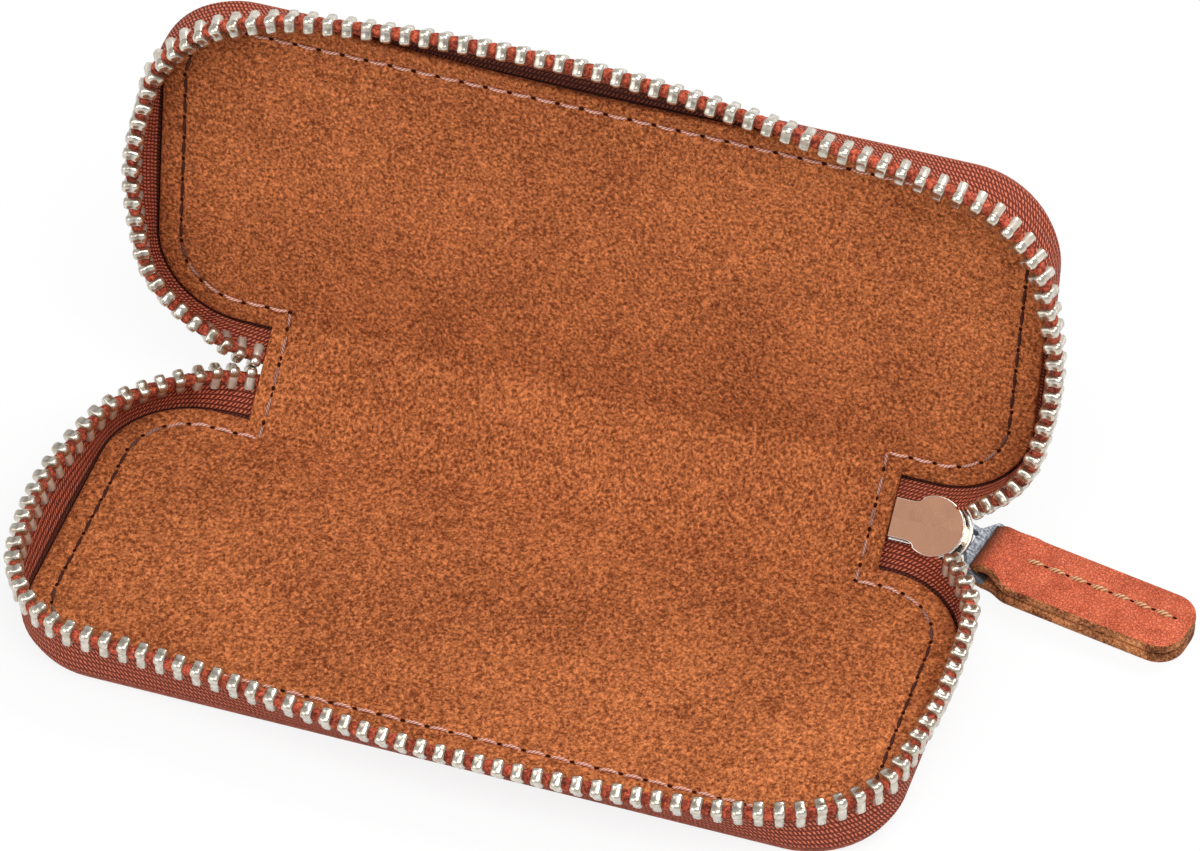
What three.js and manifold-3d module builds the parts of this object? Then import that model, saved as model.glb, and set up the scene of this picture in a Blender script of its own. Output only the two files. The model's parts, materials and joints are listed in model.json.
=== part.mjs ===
// Zippered pen case of leather, lying open with its lid raised.
// Millimetres. +X runs along the length, +Y towards the spine, +Z up.
// The origin is the middle of the underside of the base.

import * as THREE from 'three';
import { mergeVertices } from 'three/addons/utils/BufferGeometryUtils.js';
import Module from 'manifold-3d';

const wasm = await Module();
wasm.setup();

const degrees = THREE.MathUtils.degToRad;

// Panels: base and lid are alike, but the base is drawn in at its right end
const panelLength = 112; // lining
const panelDepth = 45;
const panelCorner = 11;
const baseDrawIn = 3;
const leatherBorder = 0.1; // leather beyond the lining
const liningThickness = 0.7;
const boardThickness = 0.5;
const leatherThickness = 1.2;
const layerGap = 0.3; // glue line between layers
const boardInset = 5.2;
const cornerSteps = 8;

// Spine and its two folds
const spineWidth = 81;
const spineHeight = 13.6; // fold to fold, the height of the closed case inside
const foldInset = 1.4; // fold line inside a panel's rear edge
const foldGap = 0.15;
const neckGap = 0.3; // between the spine's ends and the panels beside them
const foldAngle = degrees(40); // each fold, as the case stands open
const foldSteps = 5;

// Zip tape and teeth
const tapeThickness = 0.5;
const tapeFlange = 4.6; // sewn in between leather and lining
const sewnOffset = 0.55; // middle of the wall outside the lining's edge
const wallHeight = 7.2; // sewn edge to the middle of the tooth heads
const tapeTop = 4.2;
const toothFoot = 4.5;
const toothTip = 7.85;
const toothFootHalf = 1.3;
const toothTipHalf = 1;
const cordFoot = 4.8;
const cordTop = 6.8;
const cordHalf = 0.75;
const toothPitch = 2.4;
const toothWidth = 1.2;
const tapeStep = 4;
const wallSteps = [1.4, 2.8, tapeTop]; // heights of the tape's points above the sewn edge

// Lean of the walls in degrees, outward positive, at eleven places round the edge:
// neck, rear corner, side, front corner, then the front edge just past the corner, at
// its middle and just before the next corner, and the same places back to the neck.
const baseLean = [10, -14, 22, 2, 6, 34, 23, -6, 11, 6, 10];
const lidLean = [0, -2, 21, -13, 10, 43, 26, -13, 12, -15, -4];
const frontEase = 8; // from a front corner's end to the next place

// Loose ends of the tape beside the spine: run is their length along the sewn edge, teeth
// where their row begins, and trim the share of the tape's height that is inside the slider
const endStart = 0.3;
const neckEnd = { run: 8, teeth: endStart, trim: 0 };
const lidSliderEnd = { run: 14.5, teeth: 10.4, trim: 0.4 };
const baseSliderEnd = { run: 12, teeth: 8.4, trim: 0.4 };
const rowHalfGap = 1.3;
const rowDepth = -1.15;
const tailLength = 9.5;
const tailWidth = 11;

// Slider, at the right end of the spine
const sliderPlace = new THREE.Vector3(40.9, 7.4, 0.8); // narrow end, middle, inner face
const plateThickness = 0.9;
const channelHeight = 2.1;
const narrowHalf = 2.5;
const waistStart = 1.9;
const waistEnd = 3.15;
const innerHead = { centre: 5.2, radius: 3.8 };
const outerHead = { centre: 5.6, radius: 4 };
const postCentre = 7.1;
const postRadius = 0.8;
const flangeHeight = 0.55;
const flangeThickness = 0.5;
const flangeLength = 1.5;
const bailStart = 4.2;
const bailEnd = 8.9;
const bailWire = 1;
const bailStand = 4; // outer face of the bail from the outer plate

// Pull: a stamped link and a folded leather tab that lies on the table
const linkPlace = new THREE.Vector3(47.6, 30.45, 4.4); // middle of the link's near bar
const pullYaw = degrees(-11);
const linkPitch = degrees(20.5);
const linkThickness = 0.9;
const linkBar = 1;
const linkNearHalf = 2.1;
const linkFarHalf = 4.6;
const linkSpacing = 6.3; // near bar to far bar
const linkWebStart = 2.8;
const linkWebEnd = 3.8;
const linkHoleHalf = 1.3;
const linkSlotHalf = 4;
const tabLength = 28;
const tabWidth = 9.4;
const tabFoldWidth = 7.6;
const tabCorner = 3.2;
const tabTaper = 3.5; // behind the far bar
const tabThickness = 3;
const tabLeather = 1.3;
const tabEye = 0.8;
const tabSlit = 0.2;

const liningBottom = -liningThickness;
const boardTop = liningBottom - layerGap;
const boardBottom = boardTop - boardThickness;
const leatherTop = boardBottom - layerGap;
const leatherBottom = leatherTop - leatherThickness;
const sewnHeight = (boardTop + boardBottom) / 2;
const spineMiddle = sliderPlace.y;

const leatherFinish = { color: 0xb0573a, roughness: 0.55, metalness: 0 };
const liningFinish = { color: 0xb4643a, roughness: 0.95, metalness: 0 };
const boardFinish = { color: 0x9a8a72, roughness: 0.9, metalness: 0 };
const tapeFinish = { color: 0x8a4331, roughness: 0.85, metalness: 0 };
const nickelFinish = { color: 0xd8d2c6, roughness: 0.25, metalness: 1 };
const pullFinish = { color: 0xc9603f, roughness: 0.5, metalness: 0 };

function addPiece(group, name, geometry, finish) {
  const mesh = new THREE.Mesh(geometry, new THREE.MeshStandardMaterial(finish));
  mesh.name = name;
  group.add(mesh);
  return mesh;
}

function toSolid(geometry) {
  const bare = geometry.clone();
  bare.deleteAttribute('normal');
  bare.deleteAttribute('uv');
  const merged = mergeVertices(bare);
  const vertProperties = new Float32Array(merged.attributes.position.array);
  const triVerts = new Uint32Array(merged.index.array);
  return new wasm.Manifold(new wasm.Mesh({ numProp: 3, vertProperties, triVerts }));
}

function fromSolid(solid) {
  const mesh = solid.getMesh();
  const geometry = new THREE.BufferGeometry();
  geometry.setAttribute('position', new THREE.BufferAttribute(new Float32Array(mesh.vertProperties), 3));
  geometry.setIndex(new THREE.BufferAttribute(new Uint32Array(mesh.triVerts), 1));
  geometry.computeVertexNormals();
  return geometry;
}

function slab(shape, bottom, top) {
  const settings = { depth: top - bottom, bevelEnabled: false, curveSegments: cornerSteps };
  return new THREE.ExtrudeGeometry(shape, settings).translate(0, 0, bottom);
}

function block(low, high) {
  const size = new THREE.Vector3().subVectors(high, low);
  const middle = new THREE.Vector3().addVectors(low, high).multiplyScalar(0.5);
  return new THREE.BoxGeometry(size.x, size.y, size.z).translate(middle.x, middle.y, middle.z);
}

// A closed skin over rings of points: outline is the rings' shape in their own plane.
function loft(rings, outline) {
  const count = outline.length;
  const points = rings.flat();
  const faces = [];
  for (let ring = 0; ring + 1 < rings.length; ring += 1) {
    for (let side = 0; side < count; side += 1) {
      const next = (side + 1) % count;
      const a = ring * count + side;
      const b = ring * count + next;
      faces.push(a, b, b + count, a, b + count, a + count);
    }
  }
  const last = (rings.length - 1) * count;
  for (const [a, b, c] of THREE.ShapeUtils.triangulateShape(outline, [])) {
    faces.push(c, b, a, last + a, last + b, last + c);
  }
  let volume = 0;
  for (let face = 0; face < faces.length; face += 3) {
    const [a, b, c] = [points[faces[face]], points[faces[face + 1]], points[faces[face + 2]]];
    volume += a.dot(new THREE.Vector3().crossVectors(b, c));
  }
  if (volume < 0) {
    faces.reverse();
  }
  const geometry = new THREE.BufferGeometry().setFromPoints(points);
  geometry.setIndex(faces);
  geometry.computeVertexNormals();
  return geometry;
}

// Half of the case, in its own frame: the fold line is the x axis, y runs away from
// the spine, and z = 0 is the inner face of the lining. Its -x end is shorter by drawIn.

function panelShape(border, drawIn) {
  const plus = panelLength / 2 + border;
  const minus = plus - drawIn;
  const radius = panelCorner + border;
  const rear = -foldInset - border;
  const front = panelDepth - foldInset + border;
  const notch = spineWidth / 2 + neckGap;
  const shape = new THREE.Shape();
  shape.moveTo(notch, rear);
  shape.absarc(plus - radius, rear + radius, radius, -Math.PI / 2, 0);
  shape.absarc(plus - radius, front - radius, radius, 0, Math.PI / 2);
  shape.absarc(radius - minus, front - radius, radius, Math.PI / 2, Math.PI);
  shape.absarc(radius - minus, rear + radius, radius, Math.PI, 1.5 * Math.PI);
  shape.lineTo(-notch, rear);
  shape.lineTo(-notch, foldGap);
  shape.lineTo(notch, foldGap);
  return shape;
}

function boardShape(drawIn) {
  const plus = panelLength / 2 - boardInset;
  const minus = plus - drawIn;
  const radius = panelCorner - boardInset;
  const rear = boardInset - foldInset;
  const front = panelDepth - foldInset - boardInset;
  const shape = new THREE.Shape();
  shape.absarc(plus - radius, rear + radius, radius, -Math.PI / 2, 0);
  shape.absarc(plus - radius, front - radius, radius, 0, Math.PI / 2);
  shape.absarc(radius - minus, front - radius, radius, Math.PI / 2, Math.PI);
  shape.absarc(radius - minus, rear + radius, radius, Math.PI, 1.5 * Math.PI);
  return shape;
}

// The line where the tape leaves the panel, from the neck at +x round to the neck at -x
const edgeHalf = panelLength / 2 + sewnOffset;
const edgeRadius = panelCorner + sewnOffset;
const edgeRear = -foldInset - sewnOffset;
const edgeFront = panelDepth - foldInset + sewnOffset;
const neckRun = edgeHalf - edgeRadius - spineWidth / 2;
const cornerRun = (Math.PI / 2) * edgeRadius;
const sideRun = edgeFront - edgeRear - 2 * edgeRadius;
const halfRun = neckRun + 2 * cornerRun + sideRun + edgeHalf - edgeRadius; // to the front's middle

function makeEdge(drawIn) {
  const run = 2 * (halfRun - drawIn);

  // Place and outward direction at a distance along the line
  const at = (station) => {
    const mirrored = station > halfRun;
    const along = mirrored ? run - station : station;
    const trim = mirrored ? drawIn : 0;
    const endX = edgeHalf - trim;
    const rearCorner = along - neckRun + trim;
    const side = rearCorner - cornerRun;
    const frontCorner = side - sideRun;
    const front = frontCorner - cornerRun;
    const place = { x: spineWidth / 2 + along, y: edgeRear, outX: 0, outY: -1 };
    if (front > 0) {
      Object.assign(place, { x: endX - edgeRadius - front, y: edgeFront, outX: 0, outY: 1 });
    } else if (frontCorner > 0) {
      const turn = frontCorner / edgeRadius;
      place.outX = Math.cos(turn);
      place.outY = Math.sin(turn);
      place.x = endX - edgeRadius + edgeRadius * place.outX;
      place.y = edgeFront - edgeRadius + edgeRadius * place.outY;
    } else if (side > 0) {
      Object.assign(place, { x: endX, y: edgeRear + edgeRadius + side, outX: 1, outY: 0 });
    } else if (rearCorner > 0) {
      const turn = rearCorner / edgeRadius - Math.PI / 2;
      place.outX = Math.cos(turn);
      place.outY = Math.sin(turn);
      place.x = endX - edgeRadius + edgeRadius * place.outX;
      place.y = edgeRear + edgeRadius + edgeRadius * place.outY;
    }
    if (mirrored) {
      place.x = -place.x;
      place.outX = -place.outX;
    }
    return place;
  };

  // Where the wall's lean is given, from a neck to just past the front corner
  const placesFrom = (neck) => {
    const rearCorner = neck + cornerRun / 2;
    const side = neck + cornerRun + sideRun / 2;
    const frontCorner = neck + 1.5 * cornerRun + sideRun;
    const front = neck + 2 * cornerRun + sideRun + frontEase;
    return [0, rearCorner, side, frontCorner, front];
  };
  const back = placesFrom(neckRun - drawIn).map((station) => run - station);
  const places = [...placesFrom(neckRun), halfRun, ...back.reverse()];
  return { run, at, places };
}

// Smooth lean between the eleven places, in radians
function leanAt(leans, places, station) {
  const slope = (index) => {
    const before = Math.max(index - 1, 0);
    const after = Math.min(index + 1, leans.length - 1);
    return (leans[after] - leans[before]) / (places[after] - places[before]);
  };
  let index = 0;
  while (index + 2 < places.length && station > places[index + 1]) {
    index += 1;
  }
  const run = places[index + 1] - places[index];
  const t = (station - places[index]) / run;
  const start = leans[index] * (1 + 2 * t) * (1 - t) ** 2 + slope(index) * run * t * (1 - t) ** 2;
  const end = leans[index + 1] * (3 - 2 * t) * t ** 2 - slope(index + 1) * run * (1 - t) * t ** 2;
  return degrees(start + end);
}

// Where a row of teeth goes in under the lining of the spine, out from and up from the sewn edge.
// reach is the distance from this half's fold to the middle of the zip in the spine.
function neckTarget(reach) {
  const along = reach - rowHalfGap;
  const y = -Math.cos(foldAngle) * along + Math.sin(foldAngle) * rowDepth;
  const z = Math.sin(foldAngle) * along + Math.cos(foldAngle) * rowDepth;
  return new THREE.Vector2(edgeRear - y, z - sewnHeight);
}

// One half's wall: plus and minus are its loose ends at +x and -x, reach its distance to the zip's middle
function makeWall({ drawIn, leans, plus, minus, reach }) {
  const edge = makeEdge(drawIn);
  const target = neckTarget(reach);
  const onEdge = (station, out, z) => {
    const place = edge.at(station);
    return new THREE.Vector3(place.x + place.outX * out, place.y + place.outY * out, z);
  };
  const looseAt = (station, end) => THREE.MathUtils.smoothstep(1 - station / end.run, 0, 1);
  const looseness = (station) => looseAt(station, plus) + looseAt(edge.run - station, minus);
  const tapeShare = (station) => {
    const trimmed = plus.trim * looseAt(station, plus) + minus.trim * looseAt(edge.run - station, minus);
    return 1 - trimmed;
  };
  // A point of the wall: height up from the sewn edge, across outward from the tape's middle
  const pointAt = (station, height, across) => {
    const lean = leanAt(leans, edge.places, station);
    const outward = Math.max(lean, 0);
    const loose = looseness(station);
    const top = new THREE.Vector2(Math.sin(lean), Math.cos(lean)).multiplyScalar(wallHeight);
    top.lerp(target, loose);
    const middle = new THREE.Vector2(Math.sin(outward), Math.cos(outward)).multiplyScalar(wallHeight / 2);
    middle.lerp(target.clone().multiplyScalar(0.5), loose);
    const t = Math.min(height / wallHeight, 1);
    const spot = middle.clone().multiplyScalar(2 * t * (1 - t)).addScaledVector(top, t * t);
    const along = middle.clone().multiplyScalar(1 - 2 * t).addScaledVector(top, t).normalize();
    spot.addScaledVector(along, Math.max(height - wallHeight, 0));
    spot.add(new THREE.Vector2(along.y, -along.x).multiplyScalar(across));
    return onEdge(station, spot.x, sewnHeight + spot.y);
  };
  return { run: edge.run, onEdge, pointAt, tapeShare };
}

// Tape from one station to another: sewn flange and wall in one piece
function tapePiece(wall, from, to) {
  const half = tapeThickness / 2;
  const steps = Math.ceil((to - from) / tapeStep);
  const rings = [];
  for (let step = 0; step <= steps; step += 1) {
    const station = from + ((to - from) * step) / steps;
    const share = wall.tapeShare(station);
    const outer = wallSteps.map((height) => wall.pointAt(station, height * share, half));
    const inner = wallSteps.map((height) => wall.pointAt(station, height * share, -half)).reverse();
    const flangeBottom = wall.onEdge(station, -tapeFlange - sewnOffset, boardBottom);
    const flangeTop = wall.onEdge(station, -tapeFlange - sewnOffset, boardTop);
    const cornerOut = wall.onEdge(station, half, boardBottom);
    const cornerIn = wall.onEdge(station, -half, boardTop);
    rings.push([flangeBottom, cornerOut, ...outer, ...inner, cornerIn, flangeTop]);
  }
  const upright = (heights, out) => heights.map((height) => new THREE.Vector2(out, height));
  const outline = [
    new THREE.Vector2(-tapeFlange, -half),
    new THREE.Vector2(half, -half),
    ...upright(wallSteps, half),
    ...upright(wallSteps, -half).reverse(),
    new THREE.Vector2(-half, half),
    new THREE.Vector2(-tapeFlange, half),
  ];
  return loft(rings, outline);
}

// Teeth clamped on the tape's cord, from one station to another
function teethPiece(wall, from, to) {
  const count = Math.max(Math.round((to - from) / toothPitch), 1);
  const pitch = (to - from) / count;
  const land = (pitch - toothWidth) / 2;
  const section = (station, foot, footHalf, tip, tipHalf) => [
    wall.pointAt(station, foot, footHalf),
    wall.pointAt(station, tip, tipHalf),
    wall.pointAt(station, tip, -tipHalf),
    wall.pointAt(station, foot, -footHalf),
  ];
  const cord = (station) => section(station, cordFoot, cordHalf, cordTop, cordHalf);
  const tooth = (station) => section(station, toothFoot, toothFootHalf, toothTip, toothTipHalf);
  const rings = [cord(from)];
  for (let index = 0; index < count; index += 1) {
    const start = from + index * pitch + land;
    const end = start + toothWidth;
    rings.push(cord(start), tooth(start), tooth(end), cord(end));
  }
  rings.push(cord(to));
  const outline = [
    new THREE.Vector2(cordHalf, cordFoot),
    new THREE.Vector2(cordHalf, cordTop),
    new THREE.Vector2(-cordHalf, cordTop),
    new THREE.Vector2(-cordHalf, cordFoot),
  ];
  return loft(rings, outline);
}

function makeHalf(prefix, half) {
  const group = new THREE.Group();
  const { drawIn, plus, minus } = half;
  const wall = makeWall(half);
  const leather = slab(panelShape(leatherBorder, drawIn), leatherBottom, leatherTop);
  addPiece(group, `${prefix}_leather`, leather, leatherFinish);
  addPiece(group, `${prefix}_board`, slab(boardShape(drawIn), boardBottom, boardTop), boardFinish);
  addPiece(group, `${prefix}_lining`, slab(panelShape(0, drawIn), liningBottom, 0), liningFinish);

  const first = plus.run + neckGap;
  const last = wall.run - minus.run - neckGap;
  addPiece(group, `${prefix}_zip_tape`, tapePiece(wall, first, last), tapeFinish);
  addPiece(group, `${prefix}_zip_teeth`, teethPiece(wall, first, last), nickelFinish);

  const plusTape = tapePiece(wall, endStart, plus.run);
  const plusTeeth = teethPiece(wall, plus.teeth, plus.run);
  const minusTape = tapePiece(wall, wall.run - minus.run, wall.run - endStart);
  const minusTeeth = teethPiece(wall, wall.run - minus.run, wall.run - minus.teeth);
  addPiece(group, `${prefix}_tape_end_${plus.side}`, plusTape, tapeFinish);
  addPiece(group, `${prefix}_teeth_end_${plus.side}`, plusTeeth, nickelFinish);
  addPiece(group, `${prefix}_tape_end_${minus.side}`, minusTape, tapeFinish);
  addPiece(group, `${prefix}_teeth_end_${minus.side}`, minusTeeth, nickelFinish);
  return group;
}

// The leather round the outside of a fold, in the frame of the fold line
function foldPiece(startAngle) {
  const shape = new THREE.Shape();
  const outer = -leatherBottom;
  const inner = -leatherTop;
  const trim = neckGap / inner;
  const from = startAngle + trim;
  const to = startAngle + foldAngle - trim;
  shape.absarc(0, 0, outer, from, to);
  shape.absarc(0, 0, inner, to, from, true);
  const extrude = { depth: spineWidth, bevelEnabled: false, curveSegments: foldSteps };
  const geometry = new THREE.ExtrudeGeometry(shape, extrude).translate(0, 0, -spineWidth / 2);
  // The arc is drawn in x and y, and belongs in y and z
  const turn = new THREE.Matrix4().set(0, 0, 1, 0, 1, 0, 0, 0, 0, 1, 0, 0, 0, 0, 0, 1);
  return geometry.applyMatrix4(turn);
}

// Spine, in its own frame: the lower fold is the x axis, y runs to the upper fold

function makeSpine() {
  const group = new THREE.Group();
  const half = spineWidth / 2;
  const bottom = foldGap;
  const top = spineHeight - foldGap;
  const sheet = (low, high) => {
    return block(new THREE.Vector3(-half, bottom, low), new THREE.Vector3(half, top, high));
  };
  addPiece(group, 'spine_leather', sheet(leatherBottom, leatherTop), leatherFinish);
  addPiece(group, 'spine_lining', sheet(liningBottom, 0), liningFinish);

  const down = -Math.PI / 2;
  addPiece(group, 'lower_leather_fold', foldPiece(down - foldAngle), leatherFinish);
  const upperFold = addPiece(group, 'upper_leather_fold', foldPiece(down), leatherFinish);
  upperFold.position.set(0, spineHeight, 0);

  const tailLow = new THREE.Vector3(half - neckGap - tailLength, spineMiddle - tailWidth / 2, boardBottom);
  const tailHigh = new THREE.Vector3(half - neckGap, spineMiddle + tailWidth / 2, boardTop);
  addPiece(group, 'zip_tail_right', block(tailLow, tailHigh), tapeFinish);
  const leftLow = new THREE.Vector3(-tailHigh.x, tailLow.y, boardBottom);
  const leftHigh = new THREE.Vector3(-tailLow.x, tailHigh.y, boardTop);
  addPiece(group, 'zip_tail_left', block(leftLow, leftHigh), tapeFinish);

  const slider = addPiece(group, 'slider_body', sliderGeometry(), nickelFinish);
  slider.position.copy(sliderPlace);
  return group;
}

// Slider: x from its narrow end, y across, z = 0 at the inner face

function plateShape(head) {
  const shape = new THREE.Shape();
  const shoulder = Math.asin((head.centre - waistEnd) / head.radius) + Math.PI / 2;
  const shoulderHalf = head.radius * Math.sin(shoulder);
  shape.moveTo(0, -narrowHalf);
  shape.lineTo(waistStart, -narrowHalf);
  shape.quadraticCurveTo(waistEnd, -narrowHalf, waistEnd, -shoulderHalf);
  shape.absarc(head.centre, 0, head.radius, -shoulder, shoulder);
  shape.quadraticCurveTo(waistEnd, narrowHalf, waistStart, narrowHalf);
  shape.lineTo(0, narrowHalf);
  return shape;
}

function sliderGeometry() {
  const channelTop = -plateThickness;
  const channelBottom = channelTop - channelHeight;
  const outerFace = channelBottom - plateThickness;
  const postHeight = channelHeight + plateThickness;
  const post = new THREE.CylinderGeometry(postRadius, postRadius, postHeight, 2 * cornerSteps);
  post.rotateX(Math.PI / 2);
  post.translate(postCentre, 0, (channelTop + channelBottom) / 2);
  let body = toSolid(slab(plateShape(innerHead), channelTop, 0));
  body = body.add(toSolid(slab(plateShape(outerHead), outerFace, channelBottom)));
  body = body.add(toSolid(post));

  for (const side of [-1, 1]) {
    const wallEdges = [side * narrowHalf, side * (narrowHalf - flangeThickness)];
    const low = Math.min(...wallEdges);
    const high = Math.max(...wallEdges);
    const innerLow = new THREE.Vector3(0, low, channelTop - flangeHeight);
    const innerHigh = new THREE.Vector3(flangeLength, high, -plateThickness / 2);
    const outerLow = new THREE.Vector3(0, low, channelBottom - plateThickness / 2);
    const outerHigh = new THREE.Vector3(flangeLength, high, channelBottom + flangeHeight);
    body = body.add(toSolid(block(innerLow, innerHigh)));
    body = body.add(toSolid(block(outerLow, outerHigh)));
  }

  const crown = outerFace - bailStand;
  const wireHalf = bailWire / 2;
  const root = outerFace + plateThickness / 2;
  const archLow = new THREE.Vector3(bailStart, -wireHalf, crown);
  const archHigh = new THREE.Vector3(bailEnd, wireHalf, root);
  const eyeLow = new THREE.Vector3(bailStart + bailWire, -bailWire, crown + bailWire);
  const eyeHigh = new THREE.Vector3(bailEnd - bailWire, bailWire, outerFace);
  const bail = toSolid(block(archLow, archHigh)).subtract(toSolid(block(eyeLow, eyeHigh)));
  return fromSolid(body.add(bail));
}

// Pull, in the frame of the link's near bar: x along the pull, y across, z up

function linkShape() {
  const near = -linkBar / 2;
  const far = linkSpacing + linkBar / 2;
  const shape = new THREE.Shape();
  shape.moveTo(near, -linkNearHalf);
  shape.lineTo(linkWebStart, -linkNearHalf);
  shape.lineTo(linkWebEnd, -linkFarHalf);
  shape.lineTo(far, -linkFarHalf);
  shape.lineTo(far, linkFarHalf);
  shape.lineTo(linkWebEnd, linkFarHalf);
  shape.lineTo(linkWebStart, linkNearHalf);
  shape.lineTo(near, linkNearHalf);
  const opening = (from, to, half) => {
    const hole = new THREE.Path();
    hole.moveTo(from, -half);
    hole.lineTo(from, half);
    hole.lineTo(to, half);
    hole.lineTo(to, -half);
    shape.holes.push(hole);
  };
  opening(linkBar / 2, linkWebStart, linkHoleHalf);
  opening(linkWebEnd, linkSpacing - linkBar / 2, linkSlotHalf);
  return shape;
}

// The tab from the side: two layers of one strip, folded round the link's far bar at 0, 0
function tabSide() {
  const foldRadius = tabEye + tabLeather;
  const end = tabLength - foldRadius;
  const floor = -foldRadius;
  const top = floor + tabThickness;
  const slitTop = floor + tabThickness / 2 + tabSlit / 2;
  const slitBottom = slitTop - tabSlit;
  const meet = foldRadius * 2;
  const shape = new THREE.Shape();
  shape.moveTo(end, floor);
  shape.lineTo(end, slitBottom);
  shape.lineTo(meet, slitBottom);
  shape.lineTo(0, -tabEye);
  shape.absarc(0, 0, tabEye, -Math.PI / 2, Math.PI / 2, true);
  shape.lineTo(meet, slitTop);
  shape.lineTo(end, slitTop);
  shape.lineTo(end, top);
  shape.lineTo(meet, top);
  shape.lineTo(0, foldRadius);
  shape.absarc(0, 0, foldRadius, Math.PI / 2, 1.5 * Math.PI);
  return shape;
}

// The tab from above
function tabPlan() {
  const foldRadius = tabEye + tabLeather;
  const half = tabWidth / 2;
  const foldHalf = tabFoldWidth / 2;
  const end = tabLength - foldRadius;
  const shape = new THREE.Shape();
  shape.moveTo(-foldRadius, -foldHalf);
  shape.lineTo(tabTaper / 2, -foldHalf);
  shape.lineTo(tabTaper, -half);
  shape.absarc(end - tabCorner, tabCorner - half, tabCorner, -Math.PI / 2, 0);
  shape.absarc(end - tabCorner, half - tabCorner, tabCorner, 0, Math.PI / 2);
  shape.lineTo(tabTaper, half);
  shape.lineTo(tabTaper / 2, foldHalf);
  shape.lineTo(-foldRadius, foldHalf);
  return shape;
}

function tabGeometry() {
  const foldRadius = tabEye + tabLeather;
  const strip = slab(tabSide(), -tabWidth, tabWidth).rotateX(Math.PI / 2);
  const outline = slab(tabPlan(), -2 * foldRadius, 2 * foldRadius);
  return fromSolid(toSolid(strip).intersect(toSolid(outline)));
}

function makePull() {
  const group = new THREE.Group();
  group.position.copy(linkPlace);
  group.rotation.z = pullYaw;
  const plate = slab(linkShape(), -linkThickness / 2, linkThickness / 2);
  const link = addPiece(group, 'pull_link', plate, nickelFinish);
  link.rotation.y = linkPitch;
  const tab = addPiece(group, 'pull_tab', tabGeometry(), pullFinish);
  tab.position.x = linkSpacing * Math.cos(linkPitch);
  tab.position.z = -linkSpacing * Math.sin(linkPitch);
  return group;
}

// The case as it stands: base flat, spine and lid turned up about the folds
const lowerFoldY = panelDepth / 2 - foldInset;
const liningHeight = -leatherBottom;

const leftEnd = { side: 'left', ...neckEnd };
const lidRightEnd = { side: 'right', ...lidSliderEnd };
const baseRightEnd = { side: 'right', ...baseSliderEnd };

const base = makeHalf('base', {
  drawIn: baseDrawIn,
  leans: baseLean,
  plus: leftEnd,
  minus: baseRightEnd,
  reach: spineMiddle,
});
base.position.set(0, lowerFoldY, liningHeight);
base.rotation.z = Math.PI;

const spineTurn = new THREE.Matrix4().makeRotationX(foldAngle);
const spine = makeSpine();
spine.position.copy(base.position);
spine.rotation.x = foldAngle;

const lid = makeHalf('lid', {
  drawIn: 0,
  leans: lidLean,
  plus: lidRightEnd,
  minus: leftEnd,
  reach: spineHeight - spineMiddle,
});
lid.position.set(0, spineHeight, 0).applyMatrix4(spineTurn).add(base.position);
lid.rotation.x = 2 * foldAngle;

const penCase = new THREE.Group();
penCase.add(base, spine, lid, makePull());

export default penCase;
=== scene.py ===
import json
from math import asin, atan2, ceil, copysign, cos, degrees, hypot, pi, radians, sin, sqrt, tan

import bmesh
import bpy
from mathutils import Matrix, Vector


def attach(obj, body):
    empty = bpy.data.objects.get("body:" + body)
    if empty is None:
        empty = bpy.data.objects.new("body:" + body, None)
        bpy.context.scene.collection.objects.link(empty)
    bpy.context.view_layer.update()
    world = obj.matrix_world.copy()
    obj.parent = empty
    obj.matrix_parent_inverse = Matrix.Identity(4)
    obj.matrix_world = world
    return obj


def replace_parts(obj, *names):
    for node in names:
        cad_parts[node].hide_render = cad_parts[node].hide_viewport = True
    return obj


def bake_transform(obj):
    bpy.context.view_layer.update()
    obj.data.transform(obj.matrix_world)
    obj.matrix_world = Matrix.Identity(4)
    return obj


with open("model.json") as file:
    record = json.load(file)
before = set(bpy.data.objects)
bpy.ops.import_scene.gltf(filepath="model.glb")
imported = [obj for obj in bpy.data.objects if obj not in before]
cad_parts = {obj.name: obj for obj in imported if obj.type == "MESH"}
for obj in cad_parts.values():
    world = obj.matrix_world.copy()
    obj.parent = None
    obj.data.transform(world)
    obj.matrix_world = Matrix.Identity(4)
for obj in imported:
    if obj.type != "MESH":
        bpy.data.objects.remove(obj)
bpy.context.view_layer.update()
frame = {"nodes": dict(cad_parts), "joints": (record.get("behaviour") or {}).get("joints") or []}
mm = 0.001
upward = Vector((0, 0, 1))
print("frame loaded:", len(frame["nodes"]), "solids")


def standAt(place, turn, axis):
    return Matrix.Translation(place) @ Matrix.Rotation(turn, 4, axis)


# how the case stands, read from its two folds and the pull's two pins
joints = {joint["name"]: joint for joint in frame["joints"]}
pivots = [joints[name]["pos_m"] for name in ("spine_fold", "lid_fold", "link_swing", "tab_swing")]
lowerFold, upperFold, nearPin, farPin = [Vector(pivot) for pivot in pivots]
spineRise = upperFold - lowerFold
spineHeight = spineRise.length
foldTurn = atan2(spineRise.z, spineRise.y)
spineFrame = standAt(lowerFold, foldTurn, "X")
halfFrames = {"base": standAt(lowerFold, pi, "Z"), "lid": standAt(upperFold, 2 * foldTurn, "X")}
pullRun = farPin - nearPin
pullYaw = atan2(pullRun.y, pullRun.x)
linkPitch = atan2(-pullRun.z, hypot(pullRun.x, pullRun.y))
linkFrame = standAt(nearPin, pullYaw, "Z") @ Matrix.Rotation(linkPitch, 4, "Y")
tabFrame = standAt(farPin, pullYaw, "Z")
neckNames = {"base": "Lower", "lid": "Upper"}

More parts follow.
